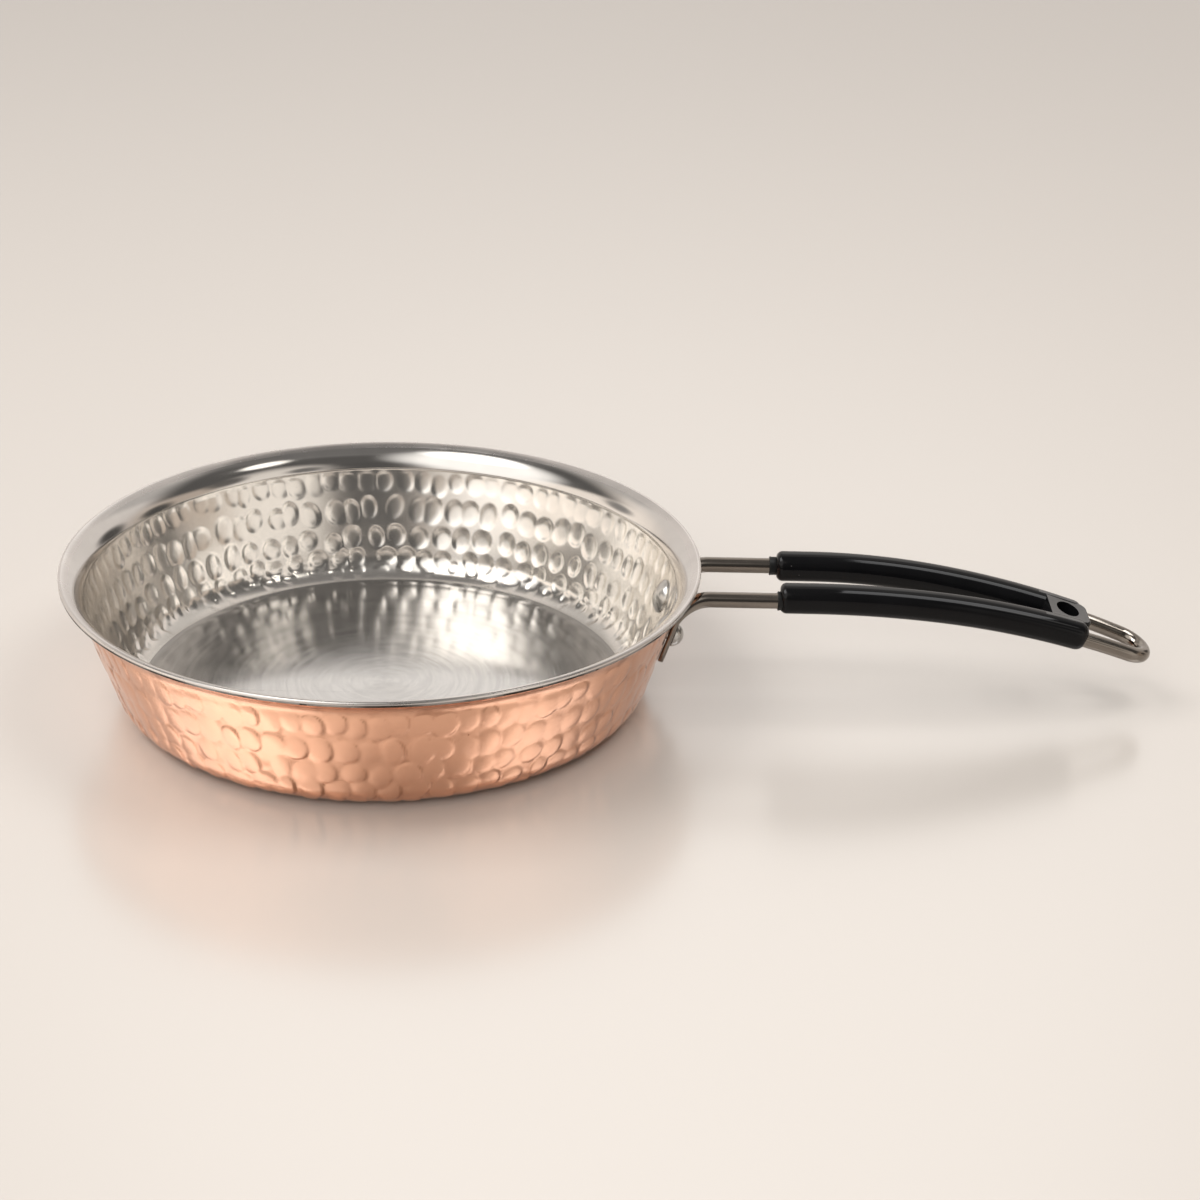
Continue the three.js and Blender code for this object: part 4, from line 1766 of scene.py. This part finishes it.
@dataclass
class Rivets:
    """The two rivets that hold the handle's tabs to the wall."""

    handle: Handle = field(default_factory=Handle)
    shank: float = 2.5
    inner_half: float = 6.6
    inner_height: float = 2.8
    inner_gap: float = 0.4
    outer_half: float = 4.5
    outer_height: float = 3.2
    outer_gap: float = 0.3
    edge_inset: float = 0.1
    dome_steps: int = 12
    sides: int = 48

    def dome(self, half: float, height: float) -> list[Place]:
        """A dome's section from its rim to its crown.

        Args:
            half: Half of its width.
            height: Its height.

        Returns:
            Radius and height of each point.
        """
        radius = (half * half + height * height) / (2 * height)
        start = math.asin((radius - height) / radius)
        return arc((0, height - radius), radius, start, math.pi / 2, self.dome_steps)

    def build(self, side: Side) -> Piece:
        """Turn a rivet and set it in its hole.

        Args:
            side: The leg that it holds.

        Returns:
            The rivet.
        """
        handle = self.handle
        inner_face = -handle.pan.wall
        outer_face = handle.tab_gap + handle.tab_thick
        inner = self.dome(self.inner_half, self.inner_height)[::-1]
        profile = [(r, inner_face - self.inner_gap - z) for r, z in inner]
        profile += [
            (self.inner_half - self.edge_inset, inner_face + self.edge_inset),
            (self.shank, inner_face),
            (self.shank, outer_face),
            (self.outer_half - self.edge_inset, outer_face),
        ]
        outer = self.dome(self.outer_half, self.outer_height)
        profile += [(r, outer_face + self.outer_gap + z) for r, z in outer]
        rivet = Bench.turned(f"rivet_{side.name.lower()}_dome", profile, self.sides)
        azimuth = side.value * handle.tab_azimuth
        turn = Matrix.Rotation(azimuth, 4, "Z") @ Matrix.Rotation(math.pi / 2 + handle.pan.lean, 4, "Y")
        place = handle.on_wall(handle.pan.height - RIVET_DROP, 0.0, azimuth)
        return Bench.settle(rivet, Matrix.Translation(place * MM) @ turn)

    def make(self) -> None:
        """Build and dress both rivets."""
        for side in Side:
            Bench.finish(self.build(side), Slot.RIVET, f"rivet_{side.name.lower()}", 40, RIVET_STEEL)


def direction(azimuth: float, elevation: float) -> Vector:
    """A direction from the pan, by its turn from +X and its climb above the floor, in degrees."""
    turn, climb = math.radians(azimuth), math.radians(elevation)
    return Vector((math.cos(turn) * math.cos(climb), math.sin(turn) * math.cos(climb), math.sin(climb)))


@dataclass(frozen=True)
class Patch:
    """A soft patch of the room that is lighter or darker than the rest; its radii are in degrees."""

    azimuth: float
    elevation: float
    inner: float
    outer: float
    colour: Colour

    def share(self, sketch: Sketch, way: Socket) -> Socket:
        """How much of the patch shows in a direction.

        Args:
            sketch: The room's node tree.
            way: The direction.

        Returns:
            The share's socket.
        """
        aim = direction(self.azimuth, self.elevation)
        near = sketch.add("VectorMath", {0: way, 1: aim}, operation="DOT_PRODUCT").outputs["Value"]
        return sketch.ranged(near, math.cos(math.radians(self.outer)), math.cos(math.radians(self.inner)))


@dataclass(frozen=True)
class Band:
    """A belt of the room between two heights, in front of the pan or behind it; its edges are soft."""

    foot: Span
    head: Span
    side: Span
    colour: Colour

    def share(self, sketch: Sketch, way: Socket) -> Socket:
        """How much of the band shows in a direction.

        Args:
            sketch: The room's node tree.
            way: The direction.

        Returns:
            The share's socket.
        """
        parts = sketch.add("SeparateXYZ", {0: way}).outputs
        above = sketch.ranged(parts[2], *self.foot)
        below = sketch.ranged(parts[2], *self.head, 1.0, 0.0)
        beside = sketch.ranged(parts[1], self.side[1], self.side[0], 1.0, 0.0)
        return sketch.math("MULTIPLY", sketch.math("MULTIPLY", above, below), beside)


@dataclass(frozen=True)
class SoftBox:
    """A square soft box that faces the pan; polished surfaces mirror it only where it says so."""

    name: str
    azimuth: float
    elevation: float
    distance: float
    size: float
    radiance: float
    mirrored: bool = True


@dataclass
class Studio:
    """Camera, floor and soft light; lengths are in metres."""

    camera_place: tuple[float, float, float] = (0.0822, -0.9273, 0.4663)
    pitch: float = math.radians(65.2)
    roll: float = math.radians(1.13)
    lens: float = 81.0
    sensor: float = 36.0
    sight: float = 60.0
    floor_colour: Colour = (0.478, 0.439, 0.403)
    floor_rough: float = 0.23
    floor_index: float = 1.9
    floor_specular: float = 1.0
    floor_half: float = 14.0
    floor_drop: float = 0.0002
    low_colour: Colour = (0.5, 0.43, 0.37)
    high_colour: Colour = (0.82, 0.79, 0.76)
    rise: Span = (0.05, 0.85)
    walls: tuple[Patch | Band, ...] = (
        Patch(90, 24, 34, 80, (0.85, 0.79, 0.74)),
        Band((0.5, 0.62), (0.72, 0.86), (0.0, 0.25), (0.58, 0.55, 0.52)),
        Patch(-170, 4, 24, 58, (1.2, 1.09, 0.98)),
        Patch(-10, 4, 15, 45, (0.6, 0.51, 0.43)),
        Band((0.34, 0.48), (0.86, 0.96), (0.45, 0.08), (0.12, 0.115, 0.11)),
        Band((0.8, 0.92), (1.1, 1.2), (0.5, 0.25), (0.2, 0.192, 0.185)),
        Patch(-42, 15, 9, 30, (1.0, 0.93, 0.85)),
        Patch(-130, 40, 16, 36, (1.5, 1.46, 1.4)),
        Patch(-141, 60, 6, 17, (3.2, 3.12, 3.0)),
        Patch(-24, 54, 3, 9, (2.4, 2.3, 2.15)),
        Patch(-82, 15, 4, 26, (0.1, 0.096, 0.092)),
        Patch(88, 33, 8, 16, (1.2, 1.15, 1.1)),
        Patch(-54, 24, 3, 9, (0.2, 0.19, 0.18)),
        Patch(12, 10, 4, 11, (0.1, 0.094, 0.088)),
        Patch(40, 8, 4, 12, (0.1, 0.094, 0.088)),
        Patch(-20, 24, 4, 11, (0.14, 0.132, 0.124)),
        Patch(168, 16, 3, 10, (0.3, 0.285, 0.27)),
    )
    boxes: tuple[SoftBox, ...] = (
        SoftBox("key_box", -177, 58, 1.45, 0.85, 5.7),
        SoftBox("right_box", 0, 62, 1.5, 0.72, 5.2),
        SoftBox("front_box", -97, 34, 1.6, 0.9, 4.9, mirrored=False),
    )

    def set_camera(self) -> None:
        """Put the camera where the photograph was taken from."""
        data = bpy.data.cameras.new("view")
        data.lens = self.lens
        data.sensor_width = self.sensor
        data.clip_end = self.sight
        camera = bpy.data.objects.new("view", data)
        bpy.context.scene.collection.objects.link(camera)
        turn = Matrix.Rotation(self.pitch, 4, "X") @ Matrix.Rotation(self.roll, 4, "Z")
        camera.matrix_world = Matrix.Translation(self.camera_place) @ turn
        bpy.context.scene.camera = camera

    def lay_floor(self) -> None:
        """Lay a plain pale floor under the pan, with the gloss of polished stone."""
        sizes = {"size": 2 * self.floor_half, "location": (0, 0, -self.floor_drop)}
        floor = Bench.started("pale_floor", bpy.ops.mesh.primitive_plane_add, **sizes)
        material = bpy.data.materials.new("pale_floor")
        material.use_nodes = True
        sketch = Sketch(material.node_tree)
        gloss = {"Roughness": self.floor_rough, "IOR": self.floor_index}
        gloss["Specular IOR Level"] = self.floor_specular
        shader = sketch.add("BsdfPrincipled", {"Base Color": (*self.floor_colour, 1.0), **gloss})
        sketch.add("OutputMaterial", {"Surface": shader.outputs[0]})
        floor.data.materials.append(material)

    def hang_lamp(self, box: SoftBox) -> None:
        """Hang a soft box that faces the pan.

        Args:
            box: Where the box hangs, and how bright it is.
        """
        data = bpy.data.lights.new(box.name, "AREA")
        data.shape = "SQUARE"
        data.size = box.size
        data.energy = box.radiance * math.pi * box.size**2
        lamp = bpy.data.objects.new(box.name, data)
        bpy.context.scene.collection.objects.link(lamp)
        way = direction(box.azimuth, box.elevation)
        turn = (-way).to_track_quat("-Z", "Y").to_matrix().to_4x4()
        lamp.matrix_world = Matrix.Translation(way * box.distance) @ turn
        lamp.visible_glossy = box.mirrored

    def flag(self, item: Piece) -> None:
        """Keep the boxes' glare off a piece, as a card beside each lamp does.

        Args:
            item: The piece that the cards shade.
        """
        shade = bpy.data.collections.new("flagged")
        shade.objects.link(item)
        shade.collection_objects[0].light_linking.link_state = "EXCLUDE"
        for box in self.boxes:
            bpy.data.objects[box.name].light_linking.receiver_collection = shade

    def light(self) -> None:
        """Light the pan from a pale room, with soft boxes at either side and in front."""
        world = bpy.data.worlds.new("pale_room")
        bpy.context.scene.world = world
        world.use_nodes = True
        sketch = Sketch(world.node_tree)
        way = sketch.add("TexCoord").outputs["Generated"]
        rise = sketch.add("SeparateXYZ", {0: way}).outputs[2]
        room = sketch.mixed(sketch.ranged(rise, *self.rise), self.low_colour, self.high_colour)
        for wall in self.walls:
            room = sketch.mixed(wall.share(sketch, way), room, wall.colour)
        back = sketch.add("Background", {"Color": room})
        sketch.add("OutputWorld", {"Surface": back.outputs[0]})
        for box in self.boxes:
            self.hang_lamp(box)

    def make(self) -> None:
        """Set up camera, floor and light."""
        self.set_camera()
        self.lay_floor()
        self.light()
        bpy.context.scene.view_settings.view_transform = "Standard"


def main() -> None:
    """Build the studio and every piece in order."""
    logging.basicConfig(level=logging.INFO, format="%(message)s")
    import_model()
    studio = Studio()
    studio.make()
    studio.flag(Pan().make())
    handle = Handle()
    handle.make()
    Rivets(handle).make()


if __name__ == "__main__":
    main()
